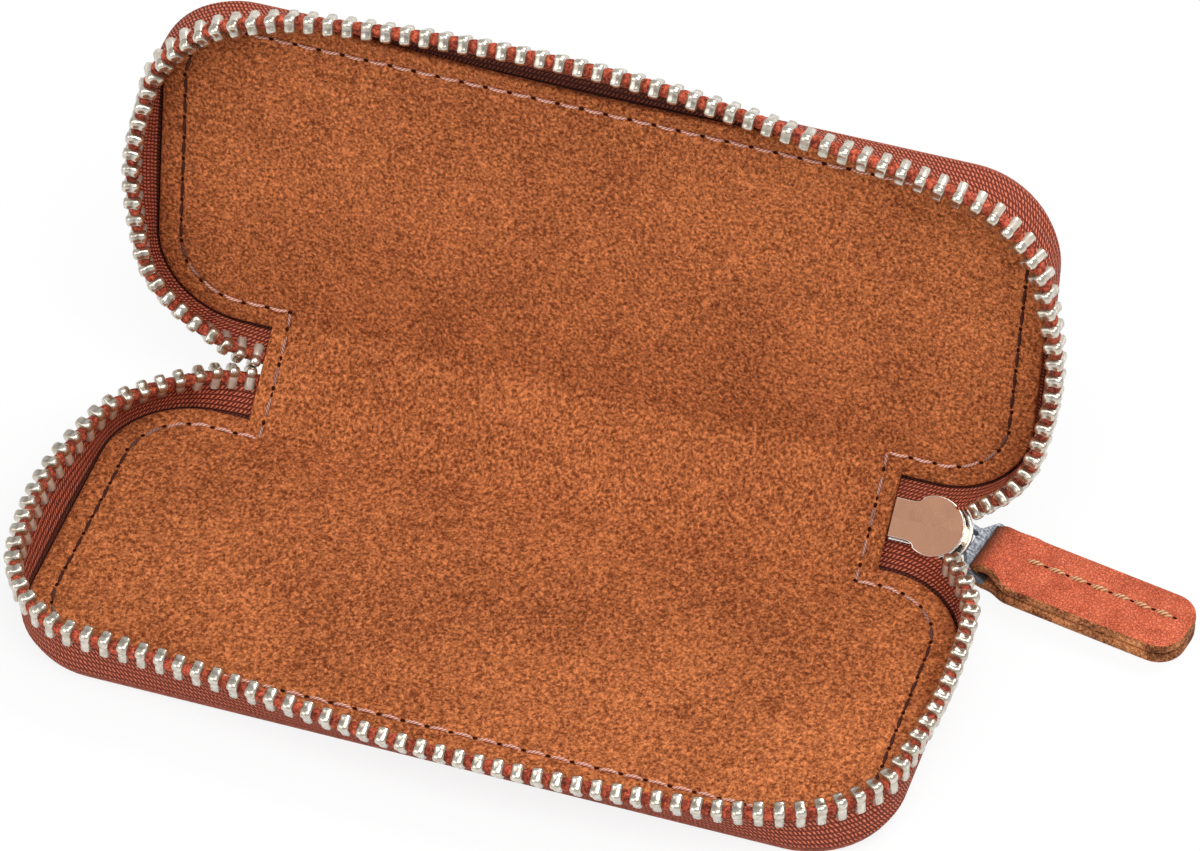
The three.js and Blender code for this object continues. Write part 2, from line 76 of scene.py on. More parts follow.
# sizes that several pieces share
case = {
    "length": 112 * mm,  # lining of base and lid
    "depth": 45 * mm,
    "corner": 11 * mm,
    "drawIn": {"base": 3 * mm, "lid": 0},  # how much shorter a panel is at its own -x end
    "spineWidth": 81 * mm,
    "foldInset": 1.4 * mm,  # fold line inside a panel's rear edge
    "foldEase": 1.3 * mm,  # a run on either side of a fold
    "seamInset": 3 * mm,  # stitch line inside the lining's edge
    "neckSeamInset": 2.1 * mm,
    "neckJoin": 2.2 * mm,  # neck pieces meet the panels here, past the fold
    "joinSink": 0.05 * mm,  # and lie this far below them
    "leatherBottom": -3 * mm,  # below the lining's face
    "cornerSteps": 14,
    "frontSteps": 16,
    "bowFade": 2.5 * mm,  # how far in from the edge a bowed front edge reaches
    "bendSteps": 8,
    "spineSteps": 4,
}
spineHalf = case["spineWidth"] / 2


# node helpers


def srgb(red, green, blue):
    shares = [value / 255 for value in (red, green, blue)]
    linear = [share / 12.92 if share <= 0.04045 else ((share + 0.055) / 1.055) ** 2.4 for share in shares]
    return (*linear, 1)


def addNode(tree, kind, inputs=None, **settings):
    node = tree.nodes.new(kind)
    for key, value in settings.items():
        setattr(node, key, value)
    for key, value in (inputs or {}).items():
        if isinstance(value, bpy.types.NodeSocket):
            tree.links.new(value, node.inputs[key])
        else:
            node.inputs[key].default_value = value
    return node.outputs


def connect(tree, sockets, values):
    for label, value in values.items():
        tree.links.new(value, sockets[label])


def calc(tree, operation, *values):
    return addNode(tree, "ShaderNodeMath", dict(enumerate(values)), operation=operation)[0]


def add(tree, first, second):
    return calc(tree, "ADD", first, second)


def subtract(tree, first, second):
    return calc(tree, "SUBTRACT", first, second)


def multiply(tree, first, second):
    return calc(tree, "MULTIPLY", first, second)


def divide(tree, first, second):
    return calc(tree, "DIVIDE", first, second)


def calcVector(tree, operation, *values):
    return addNode(tree, "ShaderNodeVectorMath", dict(enumerate(values)), operation=operation)[0]


def scaled(tree, vector, share):
    return addNode(tree, "ShaderNodeVectorMath", {0: vector, "Scale": share}, operation="SCALE")[0]


def remap(tree, value, fromLow, fromHigh, toLow=0, toHigh=1):
    sizes = dict(enumerate((value, fromLow, fromHigh, toLow, toHigh)))
    return addNode(tree, "ShaderNodeMapRange", sizes)[0]


def mixColour(tree, factor, first, second):
    return addNode(tree, "ShaderNodeMix", {0: factor, 6: first, 7: second}, data_type="RGBA")[2]


def noise(tree, place, scale, **more):
    inputs = {"Vector": place, "Scale": scale}
    inputs.update({key.capitalize(): value for key, value in more.items()})
    return addNode(tree, "ShaderNodeTexNoise", inputs)[0]


# a tree with named sockets; each socket's kind is given by name
def newTree(name, kind, inputs, outputs):
    tree = bpy.data.node_groups.new(name, kind)
    for way, sockets in (("INPUT", inputs), ("OUTPUT", outputs)):
        for label, socket in sockets.items():
            tree.interface.new_socket(label, in_out=way, socket_type="NodeSocket" + socket)
    return tree, tree.nodes.new("NodeGroupInput").outputs, tree.nodes.new("NodeGroupOutput").inputs


def newEffect(name, inputs, outputs):
    kinds = {label: "Vector" if label == "Vector" else "Float" for label in inputs}
    return newTree(name, "ShaderNodeTree", kinds, dict.fromkeys(outputs, "Float"))


# settings under the names of a tree's inputs
def pick(settings, *labels):
    return {label.capitalize(): settings[label] for label in labels}


def placeEffect(tree, effect, inputs):
    return addNode(tree, "ShaderNodeGroup", inputs, node_tree=effect)


def newMaterial(name, constants):
    material = bpy.data.materials.new(name)
    material.use_nodes = True
    shader = material.node_tree.nodes["Principled BSDF"]
    for socket, value in constants.items():
        shader.inputs[socket].default_value = value
    return material, material.node_tree, shader


def attributeOf(tree, name):
    return addNode(tree, "ShaderNodeAttribute", attribute_name=name)["Fac"]


def objectPlace(tree):
    return addNode(tree, "ShaderNodeTexCoord")["Object"]


def addBump(tree, shader, height, look):
    inputs = {"Strength": look["bump"], "Distance": look["relief"], "Height": height}
    connect(tree, shader.inputs, {"Normal": addNode(tree, "ShaderNodeBump", inputs)[0]})


# effects that several materials share


def makeFibreNap():
    inputs = ["Vector", "Grain", "Patch", "Patchiness"]
    group, source, target = newEffect("fibreNap", inputs, ["Tone", "Height"])
    patchMiddle, toneRange, darkening = 0.5, (0.33, 0.67), 1.5  # more dark than light
    place = source["Vector"]
    fine = noise(group, place, divide(group, 1, source["Grain"]), detail=4, roughness=0.66, distortion=0.4)
    patch = noise(group, place, divide(group, 1, source["Patch"]), detail=3, roughness=0.55)
    lift = multiply(group, subtract(group, patch, patchMiddle), source["Patchiness"])
    tone = calc(group, "POWER", remap(group, add(group, fine, lift), *toneRange), darkening)
    connect(group, target, {"Tone": tone, "Height": fine})
    return group


def makeLeatherGrain():
    group, source, target = newEffect("leatherGrain", ["Vector", "Grain"], ["Tone", "Height"])
    wanderSize, creaseWidth = (0.6 * mm,) * 3, 0.22
    poreScale, cloudScale = 3.1, 0.16  # of the grain's own
    pebbleShare, poreShare = 0.7, 0.5  # of the height
    poreTone, toneRange = 1.5, (1, 1.5)
    place = source["Vector"]
    scale = divide(group, 1, source["Grain"])
    wander = addNode(group, "ShaderNodeTexNoise", {"Vector": place, "Scale": scale})["Color"]
    bent = calcVector(group, "ADD", place, calcVector(group, "MULTIPLY", wander, wanderSize))
    inputs = {"Vector": bent, "Scale": scale}
    cells = addNode(group, "ShaderNodeTexVoronoi", inputs, feature="DISTANCE_TO_EDGE")["Distance"]
    pebble = remap(group, cells, 0, creaseWidth)
    pores = noise(group, place, multiply(group, scale, poreScale), detail=2)
    height = add(group, multiply(group, pebble, pebbleShare), multiply(group, pores, poreShare))
    cloud = noise(group, place, multiply(group, scale, cloudScale), detail=4, roughness=0.6)
    tone = remap(group, add(group, cloud, multiply(group, pores, poreTone)), *toneRange)
    connect(group, target, {"Tone": tone, "Height": height})
    return group


def makeTwillRibs():
    inputs = ["Along", "Across", "Pitch", "Band", "Slope", "Groove"]
    group, source, target = newEffect("twillRibs", inputs, ["Height"])
    ribRange, rowRange = (-0.9, 0.4), (0.1, 0.75)  # of the waves across a rib and a row
    step = calc(group, "FLOORED_MODULO", source["Across"], source["Band"])
    slanted = add(group, source["Along"], multiply(group, step, source["Slope"]))
    phase = multiply(group, divide(group, slanted, source["Pitch"]), 2 * pi)
    ribs = remap(group, calc(group, "SINE", phase), *ribRange)
    turn = multiply(group, divide(group, source["Across"], source["Band"]), pi)
    row = remap(group, calc(group, "ABSOLUTE", calc(group, "SINE", turn)), *rowRange)
    groove = multiply(group, subtract(group, 1, row), source["Groove"])
    connect(group, target, {"Height": multiply(group, ribs, subtract(group, 1, groove))})
    return group


def makeMetalRub():
    inputs = ["Vector", "Grain", "Smooth", "Dull"]
    group, source, target = newEffect("metalRub", inputs, ["Tone", "Roughness"])
    smudge = noise(group, source["Vector"], divide(group, 1, source["Grain"]), detail=3, roughness=0.6)
    toneRange = (0.3, 0.7)
    tone = remap(group, smudge, *toneRange)
    spread = subtract(group, source["Dull"], source["Smooth"])
    rough = add(group, source["Smooth"], multiply(group, tone, spread))
    connect(group, target, {"Tone": tone, "Roughness": rough})
    return group


fibreNap = makeFibreNap()
leatherGrain = makeLeatherGrain()
twillRibs = makeTwillRibs()
metalRub = makeMetalRub()


# materials


def makeFibreLook(name, look, constants):
    material, tree, shader = newMaterial(name, constants)
    place = calcVector(tree, "MULTIPLY", objectPlace(tree), look.get("lie", (1, 1, 1)))
    nap = placeEffect(tree, fibreNap, {"Vector": place, **pick(look, "grain", "patch", "patchiness")})
    connect(tree, shader.inputs, {"Base Color": mixColour(tree, nap["Tone"], look["dark"], look["light"])})
    addBump(tree, shader, nap["Height"], look)
    return material


def makeLeatherLook(name, look, constants):
    material, tree, shader = newMaterial(name, constants)
    creaseRange, creaseShare, roughRange = (0.1, 0.7), 0.6, (0.2, 1)  # ranges of the grain's height
    grain = placeEffect(tree, leatherGrain, {"Vector": objectPlace(tree), "Grain": look["grain"]})
    colour = mixColour(tree, grain["Tone"], look["dark"], look["light"])
    crease = remap(tree, grain["Height"], *creaseRange, creaseShare, 0)
    colour = mixColour(tree, crease, colour, look["crease"])
    # painted shade where the tab's strip rolls round the link's bar
    if "bendShade" in look:
        colour = mixColour(tree, attributeOf(tree, "bendShade"), colour, look["bendShade"])
    rough = remap(tree, grain["Height"], *roughRange, look["dull"], look["smooth"])
    connect(tree, shader.inputs, {"Base Color": colour, "Roughness": rough})
    addBump(tree, shader, grain["Height"], look)
    return material


def makeMetalLook(name, look):
    material, tree, shader = newMaterial(name, {"Metallic": look["metal"]})
    rub = placeEffect(tree, metalRub, {"Vector": objectPlace(tree), **pick(look, "grain", "smooth", "dull")})
    colour = mixColour(tree, rub["Tone"], look["light"], look["dark"])
    # painted shade in the teeth's creases, by the share each point of the tooth carries
    if "creaseShade" in look:
        colour = mixColour(tree, attributeOf(tree, "creaseShade"), colour, look["creaseShade"])
    connect(tree, shader.inputs, {"Base Color": colour, "Roughness": rub["Roughness"]})
    if "leg" in look:
        metal = remap(tree, attributeOf(tree, "leg"), 0, 1, look["metal"], look["leg"])
        connect(tree, shader.inputs, {"Metallic": metal})
    return material


def makeWovenLook(name, look, uvName=None):
    material, tree, shader = newMaterial(name, {"Specular IOR Level": 0.25, "Roughness": 0.8})
    swayShare, fuzzRange, fuzzTones, fuzzHeight = 0.4, (0.3, 0.7), (0.5, 1.1), 0.5
    place = addNode(tree, "ShaderNodeUVMap", uv_map=uvName)["UV"] if uvName else objectPlace(tree)
    split = addNode(tree, "ShaderNodeSeparateXYZ", {"Vector": place})
    along = split["X"]
    if "sway" in look:
        drift = noise(tree, place, 1 / look["sway"], detail=1)
        along = add(tree, along, multiply(tree, drift, swayShare * look["sway"]))
    ways = {"Along": along, "Across": split["Y"]}
    ribs = placeEffect(tree, twillRibs, {**ways, **pick(look, "pitch", "band", "slope", "groove")})["Height"]
    fuzz = noise(tree, place, 1 / look["fuzz"], detail=3, roughness=0.65)
    tone = multiply(tree, ribs, remap(tree, fuzz, *fuzzRange, *fuzzTones))
    colour = mixColour(tree, tone, look["dark"], look["light"])
    # painted shade at the tape's foot
    if "foot" in look:
        share = remap(tree, split["Y"], *look["foot"], look["footShare"], 0)
        colour = mixColour(tree, share, colour, look["shade"])
    # painted shade on the thread by its sink share, darkest where the stitches are drawn in deepest
    if "sunkShade" in look:
        colour = mixColour(tree, attributeOf(tree, "sink"), colour, look["sunkShade"])
    connect(tree, shader.inputs, {"Base Color": colour})
    addBump(tree, shader, add(tree, ribs, multiply(tree, fuzz, fuzzHeight)), look)
    return material


# a dark mark painted for the shade inside each needle hole
def makeNeedleHoleShade():
    material, tree, shader = newMaterial("needleHoleShade", {"Roughness": 1, "Specular IOR Level": 0})
    grain, dark, light = 0.25 * mm, srgb(30, 12, 8), srgb(66, 30, 18)
    tone = noise(tree, objectPlace(tree), 1 / grain)
    connect(tree, shader.inputs, {"Base Color": mixColour(tree, tone, dark, light)})
    return material


suedeLining = makeFibreLook(
    "suedeLining",
    {"grain": 0.4 * mm, "lie": (1, 0.9, 1), "patch": 14 * mm, "patchiness": 0.14, "bump": 0.6,
     "relief": 0.25 * mm, "dark": srgb(100, 44, 18), "light": srgb(231, 139, 83)},
    {"Roughness": 0.95, "Specular IOR Level": 0.15, "Sheen Weight": 0.15, "Sheen Roughness": 0.5,
     "Sheen Tint": srgb(240, 170, 120)},
)
rawLeatherEdge = makeFibreLook(
    "rawLeatherEdge",
    {"grain": 0.35 * mm, "patch": 3 * mm, "patchiness": 0.6, "bump": 0.9, "relief": 0.25 * mm,
     "dark": srgb(92, 47, 23), "light": srgb(230, 152, 98)},
    {"Roughness": 0.9, "Specular IOR Level": 0.2},
)
cordYarn = makeFibreLook(
    "cordYarn",
    {"grain": 0.4 * mm, "patch": 1.2 * mm, "patchiness": 0.5, "bump": 0.9, "relief": 0.2 * mm,
     "dark": srgb(96, 34, 22), "light": srgb(224, 106, 76)},
    {"Roughness": 0.85, "Specular IOR Level": 0.2},
)
stiffBoard = makeFibreLook(
    "stiffBoard",
    {"grain": 0.5 * mm, "patch": 9 * mm, "patchiness": 0.3, "bump": 0.3, "relief": 0.1 * mm,
     "dark": srgb(120, 104, 82), "light": srgb(178, 160, 130)},
    {"Roughness": 0.9, "Specular IOR Level": 0.2},
)
caseLeather = makeLeatherLook(
    "caseLeather",
    {"grain": 0.8 * mm, "bump": 0.35, "relief": 0.15 * mm, "dull": 0.62, "smooth": 0.42,
     "dark": srgb(140, 62, 40), "light": srgb(186, 90, 60), "crease": srgb(92, 38, 24)},
    {"Specular IOR Level": 0.4},
)
# bendShade is the colour of the painted shade on the tab's bend
pullLeather = makeLeatherLook(
    "pullLeather",
    {"grain": 0.5 * mm, "bump": 0.9, "relief": 0.2 * mm, "dull": 0.75, "smooth": 0.6,
     "dark": srgb(178, 74, 44), "light": srgb(243, 127, 90), "crease": srgb(140, 58, 34),
     "bendShade": srgb(112, 58, 30)},
    {"Specular IOR Level": 0.25},
)
tapeRibs = {
    "pitch": 0.52 * mm, "band": 0.84 * mm, "slope": 0.6, "groove": 1, "sway": 1.4 * mm, "fuzz": 0.3 * mm,
    "bump": 1, "relief": 0.25 * mm, "dark": srgb(108, 37, 25), "light": srgb(240, 132, 98),
}
tapeWeave = makeWovenLook("tapeWeave", tapeRibs, "tapeUv")
# painted shade along the sewn edge of the tape's inner face, where the gap beside the lining lies in shadow
footShade = {"foot": (0.7 * mm, 1.3 * mm), "footShare": 0.75, "shade": srgb(34, 12, 8)}
tapeInside = makeWovenLook("tapeInside", {**tapeRibs, **footShade}, "tapeUv")
tapeTail = makeWovenLook("tapeTail", tapeRibs)
threadTwist = {"band": 50 * mm, "slope": 0.9, "groove": 0, "fuzz": 0.2 * mm, "bump": 0.6, "relief": 0.08 * mm}
# sunkShade is the colour of the painted shade on stitches drawn into the nap
seamThread = makeWovenLook(
    "seamThread",
    {**threadTwist, "pitch": 0.5 * mm, "dark": srgb(176, 112, 94), "light": srgb(246, 200, 182),
     "sunkShade": srgb(72, 32, 22)},
    "threadUv",
)
pullThread = makeWovenLook(
    "pullThread",
    {**threadTwist, "pitch": 0.6 * mm, "dark": srgb(140, 88, 56), "light": srgb(236, 184, 140)},
    "threadUv",
)
needleHoleShade = makeNeedleHoleShade()
# creaseShade is the colour of the painted shade in the teeth's creases
toothNickel = makeMetalLook(
    "toothNickel",
    {"metal": 0.95, "leg": 0.45, "grain": 0.7 * mm, "smooth": 0.16, "dull": 0.32,
     "light": srgb(232, 226, 214), "dark": srgb(186, 174, 156), "creaseShade": srgb(66, 46, 32)},
)
sliderNickel = makeMetalLook(
    "sliderNickel",
    {"metal": 1, "grain": 2.5 * mm, "smooth": 0.07, "dull": 0.16, "light": srgb(236, 230, 222),
     "dark": srgb(222, 214, 204)},
)
sliderFace = makeMetalLook(
    "sliderFace",
    {"metal": 1, "grain": 3 * mm, "smooth": 0.2, "dull": 0.28, "light": srgb(174, 130, 106),
     "dark": srgb(162, 120, 96)},
)
linkMetal = makeMetalLook(
    "linkMetal",
    {"metal": 1, "grain": 0.35 * mm, "smooth": 0.3, "dull": 0.5, "light": srgb(112, 114, 118),
     "dark": srgb(60, 62, 68)},
)
print("materials ready")


# mesh helpers


def linkObject(name, data):
    piece = bpy.data.objects.new(name, data)
    bpy.context.scene.collection.objects.link(piece)
    return piece


def newMesh(name, points, faces, materials=(), edges=()):
    mesh = bpy.data.meshes.new(name)
    mesh.from_pydata(points, edges, faces)
    for material in materials:
        mesh.materials.append(material)
    return mesh


def weld(mesh, distance):
    shell = bmesh.new()
    shell.from_mesh(mesh)
    bmesh.ops.remove_doubles(shell, verts=shell.verts, dist=distance)
    bmesh.ops.recalc_face_normals(shell, faces=shell.faces)
    shell.to_mesh(mesh)
    shell.free()


def shadeSmooth(mesh, sharpAngle):
    mesh.shade_smooth()
    mesh.set_sharp_from_angle(angle=radians(sharpAngle))


def setNumbers(mesh, name, values):
    mesh.attributes.new(name, "FLOAT", "POINT").data.foreach_set("value", values)


def buildMesh(name, points, faces, materials, sharpAngle=40, weldGap=0.001 * mm):
    mesh = newMesh(name, points, faces, materials)
    weld(mesh, weldGap)
    shadeSmooth(mesh, sharpAngle)
    return linkObject(name, mesh)


def inRow(rings):
    return [point for ring in rings for point in ring]


# points and faces of a closed skin over rings of points, with both ends capped
def loft(rings):
    size = len(rings[0])
    last = (len(rings) - 1) * size
    faces = []
    for start in range(0, last, size):
        for side in range(size):
            low, lowNext = start + side, start + (side + 1) % size
            faces.append((low, lowNext, lowNext + size, low + size))
    return inRow(rings), faces + [tuple(reversed(range(size))), tuple(range(last, last + size))]


# the way on at each point of a path
def waysAlong(path):
    last = len(path) - 1
    return [(path[min(at + 1, last)] - path[max(at - 1, 0)]).normalized() for at in range(last + 1)]


def arc(centre, radius, start, end, steps):
    angles = [start + (end - start) * step / steps for step in range(steps + 1)]
    return [(centre[0] + radius * cos(a), centre[1] + radius * sin(a)) for a in angles]


def turnsRound(sides):
    return [2 * pi * side / sides for side in range(sides)]


def inMetres(pairs):
    return [(first * mm, second * mm) for first, second in pairs]


def smoothStep(value):
    share = min(max(value, 0), 1)
    return share * share * (3 - 2 * share)


# what an object looks like with its modifiers, as a plain mesh of its own
def plainCopy(source, name):
    graph = bpy.context.evaluated_depsgraph_get()
    mesh = bpy.data.meshes.new_from_object(source.evaluated_get(graph), depsgraph=graph)
    mesh.name = name
    bpy.data.objects.remove(source)
    return linkObject(name, mesh)


# a path for the trees: each spot has its place, and the vectors or numbers the tree reads there
def pathObject(name, lines):
    spots = [spot for line in lines for spot in line]
    edges = []
    start = 0
    for line in lines:
        edges += [(start + index, start + index + 1) for index in range(len(line) - 1)]
        start += len(line)
    mesh = newMesh(name, [spot["place"] for spot in spots], [], edges=edges)
    for key, first in spots[0].items():
        if isinstance(first, Vector):
            values = mesh.attributes.new(key, "FLOAT_VECTOR", "POINT")
            values.data.foreach_set("vector", [part for spot in spots for part in spot[key]])
        else:
            setNumbers(mesh, key, [spot[key] for spot in spots])
    return linkObject(name, mesh)


# geometry tree helpers


# a new tree that works along a path, with the path as a curve
def newShape(name, inputs):
    geometry = {"Geometry": "Geometry"}
    tree, source, target = newTree(name, "GeometryNodeTree", {**geometry, **inputs}, geometry)
    return tree, source, target, shape(tree, "MeshToCurve", {"Mesh": source["Geometry"]})


def addTree(source, tree, values):
    modifier = source.modifiers.new(tree.name, "NODES")
    modifier.node_group = tree
    for item in tree.interface.items_tree:
        if item.in_out == "INPUT" and item.name in values:
            modifier[item.identifier] = values[item.name]


def shape(tree, kind, inputs=None, **settings):
    return addNode(tree, "GeometryNode" + kind, inputs, **settings)[0]


def named(tree, name, kind="FLOAT_VECTOR"):
    return shape(tree, "InputNamedAttribute", {"Name": name}, data_type=kind)


# turned along the path, and with a jitter also by a random angle
def turnAlong(tree, upName, jitter=None, seed=None):
    axes = {"Primary Axis": shape(tree, "InputTangent"), "Secondary Axis": named(tree, upName)}
    turn = addNode(tree, "FunctionNodeAxesToRotation", axes, primary_axis="X", secondary_axis="Z")[0]
    if jitter is None:
        return turn
    spread = {2: multiply(tree, jitter, -1), 3: jitter, "Seed": seed}  # 2 and 3 are the number's limits
    angle = addNode(tree, "FunctionNodeRandomValue", spread, data_type="FLOAT")[1]
    swing = addNode(tree, "ShaderNodeCombineXYZ", {"Z": angle})[0]
    turns = {"Rotation": turn, "Rotate By": addNode(tree, "FunctionNodeEulerToRotation", {"Euler": swing})[0]}
    return addNode(tree, "FunctionNodeRotateRotation", turns, rotation_space="LOCAL")[0]


def dress(tree, geometry, material):
    real = shape(tree, "RealizeInstances", {"Geometry": geometry})
    return shape(tree, "SetMaterial", {"Geometry": real, "Material": material})


def copiesAt(tree, points, model, turn, material):
    instance = addNode(tree, "GeometryNodeObjectInfo", {"Object": model})["Geometry"]
    copies = shape(tree, "InstanceOnPoints", {"Points": points, "Instance": instance, "Rotation": turn})
    return dress(tree, copies, material)


# panels: a ring inset from the lining's edge, in a half's own frame, from the neck at +x to the neck at -x


def panelRing(body, inset, bow=0):
    plus = case["length"] / 2 - inset
    minus = plus - case["drawIn"][body]
    radius = case["corner"] - inset
    rear = inset - case["foldInset"]
    front = case["depth"] - case["foldInset"] - inset
    turns = [-pi / 2, 0, pi / 2, pi, 1.5 * pi]
    centres = [(plus - radius, rear + radius), (plus - radius, front - radius)]
    centres += [(radius - minus, front - radius), (radius - minus, rear + radius)]
    bends = zip(centres, turns, turns[1:])
    arcs = [arc(centre, radius, *ends, case["cornerSteps"]) for centre, *ends in bends]
    frontEdge = []
    for step in range(1, case["frontSteps"]):
        share = step / case["frontSteps"]
        x = plus - radius + (2 * radius - minus - plus) * share
        frontEdge.append((x, front - bow * (1 - (2 * share - 1) ** 2) ** 2))
    return [(spineHalf, rear), *arcs[0], *arcs[1], *frontEdge, *arcs[2], *arcs[3], (-spineHalf, rear)]


# a panel's sheet: its rim gives inset and height from under the sheet, round its edge, to its top
def panelSheet(name, body, layer):
    rings = []
    for inset, height in inMetres(layer["rim"]):
        ring = panelRing(body, inset, layer["bow"][body] * max(1 - inset / case["bowFade"], 0))
        rings.append([halfFrames[body] @ Vector((*point, height)) for point in ring])
    size = len(rings[0])
    starts = [ring * size for ring in range(len(rings))]
    last = starts[-1]
    faces = []
    for start in starts[:-1]:
        faces += [(low, low + 1, low + 1 + size, low + size) for low in range(start, start + size - 1)]
    faces += [tuple(range(size)), tuple(range(last, last + size)), (0, size - 1, last + size - 1, last)]
    faces += [tuple(starts), tuple(start + size - 1 for start in starts)]
    return buildMesh(name, inRow(rings), faces, [layer["material"]])


# rows across a layer's neck, from a panel past the fold to the middle of the spine
def neckRows(layer):
    bend = layer["bend"]
    reach = bend * tan(foldTurn / 2)
    rows = [(case["neckJoin"], 0, 0)]
    for step in range(case["bendSteps"] + 1):
        turn = foldTurn * step / case["bendSteps"]
        rows.append((reach - bend * sin(turn), bend - bend * cos(turn), turn))
    for step in range(1, case["spineSteps"] + 1):
        along = reach + (spineHeight / 2 - reach) * step / case["spineSteps"]
        rows.append((-along * cos(foldTurn), along * sin(foldTurn), foldTurn))
    return rows


# half a neck: its ring has places across and heights over the lining's face
def neckSheet(name, halfFrame, layer):
    ring = [(spineHalf - inset, height) for inset, height in inMetres(layer["neckRim"])]
    ring += [(-across, height) for across, height in reversed(ring)]
    rings = []
    for y, z, turn in neckRows(layer):
        widen = layer["flare"] * (1 - turn / foldTurn) ** 2
        sink = case["joinSink"] if turn == 0 else 0
        lifted = [(across + copysign(widen, across), height - sink) for across, height in ring]
        rings.append([halfFrame @ Vector((x, y + sin(turn) * h, z + cos(turn) * h)) for x, h in lifted])
    return buildMesh(name, *loft(rings), [layer["material"]])


lining = {
    "name": "Lining",
    "material": suedeLining,
    "slot": "suede_lining",
    "folds": {"base": [], "lid": []},
    "bend": 2.4 * mm,
    "flare": 0.9 * mm,  # the neck's edge turns out into the panel
    "bow": {"base": 0, "lid": 1.2 * mm},  # the middle of the front edge is drawn in
    # inset and height: bottom, rim pressed down on the tape, edge, stitch groove, inside
    "rim": [(3.6, -0.7), (1.4, -0.7), (0.5, -0.9), (0.15, -0.94), (0, -0.8), (0, -0.42), (0.07, -0.18),
            (0.25, -0.04), (0.6, 0.02), (1.6, 0.04), (2.5, 0.02), (2.78, -0.07), (3, -0.13), (3.22, -0.07),
            (3.5, 0), (3.6, 0)],
    "neckRim": [(0.3, -0.7), (0, -0.55), (0, -0.3), (0.07, -0.13), (0.25, -0.03), (0.6, 0), (1.6, 0),
                (1.88, -0.07), (2.1, -0.13), (2.32, -0.07), (2.6, 0)],
}
leather = {
    "name": "Leather",
    "material": caseLeather,
    "slot": "case_leather",
    "folds": {"base": ["lower_leather_fold"], "lid": ["upper_leather_fold"]},
    "bend": 0,
    "flare": 0,
    "bow": {"base": 0, "lid": 0},
    "rim": [(3.6, -3), (1.1, -3), (0.5, -2.9), (0.1, -2.65), (-0.1, -2.3), (-0.1, -1.85), (0, -1.66),
            (0.4, -1.58), (1.2, -1.64), (2.2, -1.8), (3.6, -1.8)],
    "neckRim": [(0.5, -3), (0.12, -2.9), (0, -2.7), (0, -2.1), (0.12, -1.9), (0.5, -1.8)],
}


# a piece that crosses a half's fold: its transform is baked into its mesh
def blendOverFold(piece):
    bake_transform(piece)


def makeSheets():
    for body, halfFrame in halfFrames.items():
        for layer in (lining, leather):
            panel = panelSheet(body + layer["name"], body, layer)
            solid = f"{body}_{layer['name'].lower()}"
            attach(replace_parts(panel, solid), body)
        for layer in (lining, leather):
            neck = neckSheet(f"neck{layer['name']}{neckNames[body]}", halfFrame, layer)
            solids = [f"spine_{layer['name'].lower()}", *layer["folds"][body]]
            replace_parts(neck, *solids)
            blendOverFold(neck)
    print("leather and lining ready")


makeSheets()


# seams: stitches along a path, with dark marks of painted shade for their needle holes
seam = {
    "pitch": 3 * mm,
    "length": 2.35 * mm,
    "thread": 0.23 * mm,
    "arch": 0.2 * mm,
    "sunk": 0.06 * mm,
    "shares": [-1, -0.72, 0, 0.72, 1],  # its rings, as shares of half its length
    "dive": 0.5,  # its ends go down by this share of the arch
    "thinning": 0.35,
    "sides": 6,
    "sideSink": 0.12 * mm,  # drawn in deeper at the short sides, with painted shade on the thread there
    "neckSink": 0.4,  # and by this share of it along the neck, with painted shade on the thread by the same share
    "holeHalf": 0.24 * mm,
    "holeLevels": [(0.02 * mm, 1), (0.035 * mm, 0.5)],  # height and share of the hole's width
    "holeSides": 8,
    "jitter": radians(4),
    "seed": 11,
}


def makeStitch(name, sizes, material):
    turns = turnsRound(sizes["sides"])
    rings = []
    uvs = []
    for share in sizes["shares"]:
        x = share * sizes["length"] / 2
        dive = sizes["arch"] * sizes["dive"] * abs(share) ** 3
        lift = sizes["arch"] * (1 - share * share) - sizes["sunk"] - dive
        radius = sizes["thread"] * (1 - sizes["thinning"] * share * share)
        rings.append([(x, radius * cos(turn), lift + radius * sin(turn)) for turn in turns])
        uvs += [(x, sizes["thread"] * turn) for turn in turns]
    mesh = newMesh(name, *loft(rings), [material])
    layer = mesh.uv_layers.new(name="threadUv")
    for loop in mesh.loops:
        layer.data[loop.index].uv = uvs[loop.vertex_index]
    mesh.shade_smooth()
    return linkObject(name, mesh)


# a flat mark just over the surface, painted shade standing in for the needle hole
def makeHole(name, sizes):
    middle, turns = sizes["pitch"] / 2, turnsRound(sizes["holeSides"])
    rings = []
    for height, share in sizes["holeLevels"]:
        along, across = (sizes["pitch"] - sizes["length"]) / 2 * share, sizes["holeHalf"] * share
        rings.append([(middle + along * cos(turn), across * sin(turn), height) for turn in turns])
    return linkObject(name, newMesh(name, *loft(rings), [needleHoleShade]))


def makeSeamTree():
    inputs = {"Pitch": "Float", "Jitter": "Float", "Seed": "Int", "Sink": "Float", "Stitch": "Object",
              "Hole": "Object", "Thread": "Material", "Dark": "Material"}
    tree, source, target, curve = newShape("seamTree", inputs)
    spots = shape(tree, "ResampleCurve", {"Curve": curve, "Length": source["Pitch"]}, mode="LENGTH")
    depth = multiply(tree, named(tree, "sink", "FLOAT"), source["Sink"])
    down = scaled(tree, named(tree, "seamUp"), multiply(tree, depth, -1))
    sunk = shape(tree, "SetPosition", {"Geometry": spots, "Offset": down})
    swung = turnAlong(tree, "seamUp", source["Jitter"], source["Seed"])
    stitches = copiesAt(tree, sunk, source["Stitch"], swung, source["Thread"])
    holes = copiesAt(tree, spots, source["Hole"], turnAlong(tree, "seamUp"), source["Dark"])
    joined = tree.nodes.new("GeometryNodeJoinGeometry")
    for part in (stitches, holes):
        tree.links.new(part, joined.inputs[0])
    connect(tree, target, {"Geometry": joined.outputs[0]})
    return tree


seamTree = makeSeamTree()


